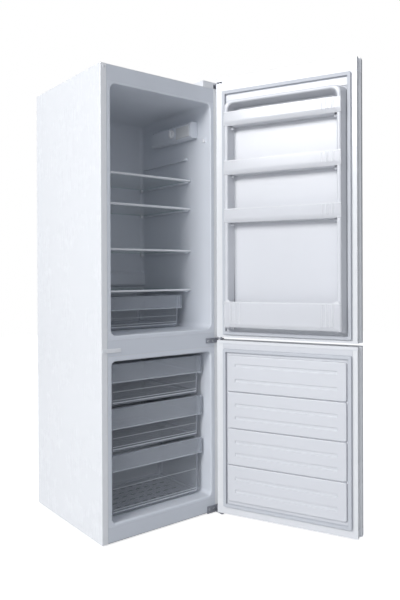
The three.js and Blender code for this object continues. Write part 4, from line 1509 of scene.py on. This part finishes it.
@dataclass(frozen=True)
class Controls:
    """The housing on the right wall with its lamp and knob, and the door switch."""

    def build(self) -> None:
        """Makes the controls."""
        refined("control_housing", "cabinet", LINER, 0.0016).finish("control_housing")
        self._lens()
        refined("lamp_bulb", "cabinet", BULB_GLASS, 0.001, degrees=60).finish("lamp_bulb", smooth=50)
        self._knob()
        refined("door_switch_button", "door_switch_button", MOULDING, 0.0012).finish("door_switch_button")

    def _lens(self) -> None:
        """Shapes the lamp's cover, with the edges of its face rounded."""
        span = Span.of("lamp_lens")
        form = Form.of_node("lamp_lens")
        form.round(form.sharp(lambda p: p.x < span.low.x + 0.0005), 0.0012, 3)
        piece = Piece("lamp_lens_finished", "cabinet", LENS).add(form, LENS)
        piece.finish("lamp_lens")

    def _knob(self) -> None:
        """Turns the knob's skirt and adds its grip."""
        span = Span.of("thermostat_knob")
        radius = span.size.y / 2
        base = -(span.low.x + 0.013)
        profile = [
            (0.0, 0.0), (radius, 0.0), (radius, 0.0026), (radius * 0.93, 0.0046), (radius * 0.86, 0.006),
            (radius * 0.74, 0.006), (radius * 0.7, 0.0052), (0.0, 0.0052),
        ]
        foot = Vector((-base, span.middle.y, span.middle.z))
        piece = Piece("thermostat_knob_finished", "thermostat_knob", MOULDING)
        piece.add(Form.turned(profile, foot, Vector((-1, 0, 0)), 64), MOULDING)
        grip = Span.between(
            (span.low.x, foot.x - 0.004), (foot.y - 0.003, foot.y + 0.003),
            (foot.z - radius * 0.82, foot.z + radius * 0.82),
        )
        piece.add(pad(grip, Axis.X, 0.0026, 0.0014), MOULDING)
        stem_ends = [Vector((x, foot.y, foot.z)) for x in (foot.x - 0.001, span.high.x)]
        stem = Form.rod(*stem_ends, 0.004)
        piece.add(stem, MOULDING).finish("thermostat_knob")


# ---------------------------------------------------------------- underside and rear
@dataclass(frozen=True)
class Underside:
    """The feet, the rollers and the cooling unit in its bay."""

    def build(self) -> None:
        """Makes the underside's pieces."""
        for side in ("left", "right"):
            for kind in ("foot", "roller"):
                name = f"{kind}_{side}"
                refined(name, name, DARK, 0.0009, degrees=50).finish(name, smooth=40)
        self._compressor()
        refined("drip_tray", "cabinet", DARK, 0.0006).finish("drip_tray")
        self._drier()
        refined("mains_inlet", "cabinet", DARK, 0.0007, degrees=50).finish("mains_inlet", smooth=40)

    def _compressor(self) -> None:
        """Turns the compressor's oval can, with its weld seam."""
        span = Span.of("compressor")
        radius, high = span.size.y / 2, span.size.z
        profile = [
            (0.0, 0.0), (0.72, 0.0), (0.84, 0.012), (0.93, 0.04), (0.98, 0.12), (0.985, 0.40), (1.0, 0.41),
            (1.0, 0.435), (0.985, 0.445), (0.97, 0.62), (0.93, 0.76), (0.84, 0.86), (0.7, 0.93),
            (0.5, 0.975), (0.25, 0.996), (0.0, 1.0),
        ]
        form = Form.turned([(r * radius, h * high) for r, h in profile], Vector(), Vector((0, 0, 1)), 64)
        oval = Matrix.Diagonal((span.size.x / span.size.y, 1.0, 1.0, 1.0))
        foot = Matrix.Translation((span.middle.x, span.middle.y, span.low.z))
        bmesh.ops.transform(form.bm, matrix=foot @ oval, verts=form.bm.verts)
        Piece("compressor_finished", "cabinet", BLACK).add(form, BLACK).finish("compressor", smooth=40)

    def _drier(self) -> None:
        """Turns the filter drier."""
        span = Span.of("filter_drier")
        centre, radius = span.middle, span.size.x / 2
        length = span.size.z
        half_profile = [
            (0.0, 0.0), (radius * 0.3, 0.0), (radius * 0.3, 0.012), (radius * 0.6, 0.018), (radius, 0.026),
        ]
        profile = half_profile + [(r, length - h) for r, h in reversed(half_profile)]
        foot = Vector((centre.x, centre.y, span.low.z))
        form = Form.turned(profile, foot, Vector((0, 0, 1)), 32)
        Piece("filter_drier_finished", "cabinet", COPPER).add(form, COPPER).finish("filter_drier", smooth=30)


@dataclass(frozen=True)
class Condenser:
    """The black wire-on-tube condenser on the back."""

    tube: float = 0.0024
    half: float = 0.205
    low: float = 0.3
    pitch: float = 0.1
    passes: int = 12
    at: float = 0.523
    wire: float = 0.0007
    wires: int = 24
    block_x: float = 0.18

    def build(self) -> None:
        """Makes the condenser."""
        piece = Piece("condenser_finished", "cabinet", BLACK)
        for number in range(self.passes):
            z = self.low + number * self.pitch
            ends = [Vector((side * self.half, self.at, z)) for side in (-1, 1)]
            piece.add(Form.rod(*ends, self.tube, 12), BLACK)
            if number < self.passes - 1:
                piece.add(self._bend(-1 if number % 2 else 1, z), BLACK)
        top = self.low + (self.passes - 1) * self.pitch
        for number in range(self.wires):
            x = self.half * (2 * (number + 0.5) / self.wires - 1)
            for face in (-1, 1):
                y = self.at + face * (self.tube + self.wire * 0.4)
                ends = [Vector((x, y, z)) for z in (self.low - 0.0078, top + 0.0078)]
                piece.add(Form.rod(*ends, self.wire, 6), BLACK)
        rear = Span.of("back_panel").high.y
        for z in (self.low, top):
            for side in (-1, 1):
                x = side * self.block_x
                block = Span.between(
                    (x - 0.009, x + 0.009), (rear - 0.0003, self.at + 0.005), (z - 0.008, z + 0.008)
                )
                piece.add(pad(block, Axis.Y, 0.003, 0.0012), BLACK)
        piece.finish("condenser", smooth=50)

    def _bend(self, side: int, z: float) -> Form:
        """Bends the tube from one pass to the next."""
        form = Form()
        start = Vector((side * self.half, self.at, z))
        place = Matrix.Translation(start) @ Matrix.Rotation(math.pi / 2, 4, "Y")
        made = bmesh.ops.create_circle(form.bm, segments=12, radius=self.tube, matrix=place)
        bmesh.ops.spin(
            form.bm, geom=form.bm.verts[:] + form.bm.edges[:], axis=(0, -side, 0),
            cent=(start.x, start.y, z + self.pitch / 2), angle=math.pi, steps=16, use_duplicate=False,
        )
        bmesh.ops.holes_fill(form.bm, edges=[e for e in form.bm.edges if e.is_boundary], sides=12)
        return form.outward()


@dataclass(frozen=True)
class Insulation:
    """The rigid foam between the skins and the liners."""

    margin_x: Pair = (0.012, 0.004)
    margin_y: Pair = (0.002, 0.004)
    margin_z: Pair = (0.024, 0.024)

    def build(self) -> None:
        """Dresses the cabinet's foam, and fills the doors inside their skins."""
        mesh = frame["nodes"]["cabinet_foam"].data
        mesh.materials.clear()
        mesh.materials.append(dressed(FOAM))
        for door in ("fridge_door", "freezer_door"):
            swing = Swing.of(f"{door}_hinge")
            node = f"{door}_foam"
            skin = Span.of(f"{door}_skin", swing)
            fill = skin.shrunk(self.margin_x, self.margin_y, self.margin_z)
            piece = Piece(f"{node}_finished", door, FOAM).add(pad(fill, Axis.Z, 0.006, 0.001), FOAM)
            piece.finish(node, swing=swing)


# ---------------------------------------------------------------- the studio
@dataclass(frozen=True)
class Lamp:
    """A square soft light: where it hangs, what it faces, the length of its side and its power in watts."""

    name: str
    at: tuple[float, float, float]
    target: tuple[float, float, float]
    size: float
    power: float

    def hang(self) -> None:
        """Adds the light to the scene."""
        data = bpy.data.lights.new(self.name, "AREA")
        data.size, data.energy = self.size, self.power
        light = bpy.data.objects.new(self.name, data)
        aim = (Vector(self.target) - Vector(self.at)).to_track_quat("-Z", "Y").to_matrix().to_4x4()
        light.matrix_world = Matrix.Translation(self.at) @ aim
        bpy.context.scene.collection.objects.link(light)


@dataclass(frozen=True)
class Studio:
    """A pale floor, soft light and the camera."""

    eye: tuple[float, float, float] = (-1.4564, -1.8004, 0.940)
    yaw: float = 36.69
    pitch: float = -0.19
    roll: float = -0.23
    lens: float = 36.22
    shift: Pair = (0.0596, -0.0389)
    sensor: Pair = (24.0, 36.0)
    clip: Pair = (0.05, 60.0)
    floor_size: float = 14.0
    floor_glow: float = 0.8
    bright_side: tuple[float, float, float] = (-0.83, 0.05, 0.56)
    sky_span: Pair = (-0.7, 1.0)
    sky_strength: Pair = (0.06, 0.62)
    sky_tint: Colour = (0.9, 0.95, 1.05)
    lamps: tuple[Lamp, ...] = (
        Lamp("key", (-5.8, -1.4, 3.6), (0.0, 0.0, 0.9), 2.0, 235),
        Lamp("front", (-1.6, -3.4, 2.4), (0.0, 0.0, 0.8), 2.0, 8),
        Lamp("rear", (1.6, 3.4, 2.2), (0.0, 0.2, 0.8), 2.4, 50),
    )

    def build(self) -> None:
        """Makes the floor, the lights, the world and the camera."""
        self._floor()
        self._camera()
        self._world()
        for lamp in self.lamps:
            lamp.hang()

    def _floor(self) -> None:
        """Lays the floor."""
        form = Form()
        bmesh.ops.create_grid(form.bm, x_segments=2, y_segments=2, size=self.floor_size / 2)
        mesh = bpy.data.meshes.new("floor")
        form.bm.to_mesh(mesh)
        form.bm.free()
        material = dressed(FLOOR)
        wiring = Wiring(material.node_tree)
        shader = next(n for n in material.node_tree.nodes if n.type == "BSDF_PRINCIPLED")
        seen = wiring.add("ShaderNodeLightPath").outputs["Is Camera Ray"]
        lift = wiring.add("ShaderNodeMapRange", {"Value": seen, "To Min": 0.0, "To Max": self.floor_glow})
        material.node_tree.links.new(lift.outputs[0], shader.inputs["Emission Strength"])
        shader.inputs["Emission Color"].default_value = (1.0, 1.0, 1.0, 1.0)
        mesh.materials.append(material)
        floor = bpy.data.objects.new("floor", mesh)
        bpy.context.scene.collection.objects.link(floor)

    def _camera(self) -> None:
        """Sets up the camera."""
        data = bpy.data.cameras.new("camera")
        data.sensor_fit = "VERTICAL"
        data.sensor_width, data.sensor_height = self.sensor
        data.lens = self.lens
        data.shift_x, data.shift_y = self.shift
        data.clip_start, data.clip_end = self.clip
        camera = bpy.data.objects.new("camera", data)
        turn = (
            Matrix.Rotation(-math.radians(self.yaw), 4, "Z")
            @ Matrix.Rotation(math.radians(90 + self.pitch), 4, "X")
            @ Matrix.Rotation(math.radians(self.roll), 4, "Z")
        )
        camera.matrix_world = Matrix.Translation(self.eye) @ turn
        bpy.context.scene.collection.objects.link(camera)
        bpy.context.scene.camera = camera

    def _world(self) -> None:
        """Surrounds the scene with soft light that looks white behind the object."""
        world = bpy.data.worlds.new("studio")
        world.use_nodes = True
        wiring = Wiring(world.node_tree)
        background = next(n for n in world.node_tree.nodes if n.type == "BACKGROUND")
        seen = wiring.add("ShaderNodeLightPath").outputs["Is Camera Ray"]
        ray = wiring.add("ShaderNodeTexCoord").outputs["Generated"]
        towards = wiring.add(
            "ShaderNodeVectorMath", {0: ray, 1: self.bright_side}, operation="DOT_PRODUCT"
        ).outputs["Value"]
        soft = wiring.add(
            "ShaderNodeMapRange",
            {"Value": towards, "From Min": self.sky_span[0], "From Max": self.sky_span[1],
             "To Min": self.sky_strength[0], "To Max": self.sky_strength[1]},
        )
        tint = wiring.add(
            "ShaderNodeVectorMath", {0: self.sky_tint, 1: soft.outputs[0]}, operation="MULTIPLY"
        )
        shown = wiring.add(
            "ShaderNodeMix", {0: seen, 6: tint.outputs[0], 7: (1.0, 1.0, 1.0, 1.0)}, data_type="RGBA"
        )
        world.node_tree.links.new(shown.outputs[2], background.inputs["Color"])
        bpy.context.scene.world = world


# ---------------------------------------------------------------- assembly
def parts() -> list:
    """The sub-assemblies, in the order they are built."""
    shelf_tops = (1.324, 1.209, 1.038, 0.88, 1.42)  # the last one is a spare place
    under_glass, shelf_run, drawer_front = 0.0043, (0.142, 0.45), 0.062
    fridge_ledges = tuple((top - under_glass, *shelf_run) for top in shelf_tops)
    freezer_ledges = tuple(
        (level, drawer_front, back) for level, back in ((0.552, 0.43), (0.386, 0.43), (0.234, 0.305))
    )
    return [
        Studio(),
        Case(),
        FrontFrame(),
        Compartment(
            "fridge_liner", half=0.229, low=0.727, high=1.606, rear=0.47, corner=0.022, mouth=0.004,
            step=None, ledges=fridge_ledges, rib=(0.886, 0.955),
        ),
        Compartment(
            "freezer_liner", half=0.226, low=0.074, high=0.637, rear=0.45, corner=0.016, mouth=0.007,
            step=(0.32, 0.275), ledges=freezer_ledges,
        ),
        Hinges(),
        FridgeDoor(
            "fridge_door", "fridge_door_hinge", low=0.696, high=1.7, cap_low=0.01, cap_high=0.05,
            seal_low=0.708, seal_high=1.647,
        ),
        FreezerDoor(
            "freezer_door", "freezer_door_hinge", low=0.012, high=0.684, cap_low=0.029, cap_high=0.011,
            seal_low=0.042, seal_high=0.653,
        ),
        Balcony("balcony_1", low=1.5, high=1.553),
        Balcony("balcony_2", low=1.316, high=1.37),
        Balcony("balcony_3", low=1.135, high=1.188),
        Balcony("bottle_rack", low=0.741, high=0.838, reach=0.2205, rise=0.062, cheek=0.008),
        *(Shelf(number) for number in (1, 2, 3, 4)),
        Bin("crisper", half=0.194, band=0.803),
        Bin("freezer_drawer_1", half=0.208, band=0.553),
        Bin("freezer_drawer_2", half=0.208, band=0.387),
        Bin("freezer_drawer_3", half=0.208, band=0.235, slots=True),
        Controls(),
        Underside(),
        Condenser(),
        Insulation(),
    ]


def main() -> None:
    """Builds every sub-assembly and sets the view transform."""
    logging.basicConfig(level=logging.INFO, format="%(message)s")
    for part in parts():
        log.info("building %s", type(part).__name__)
        part.build()
    bpy.context.scene.view_settings.view_transform = "Standard"


if __name__ == "__main__":
    main()
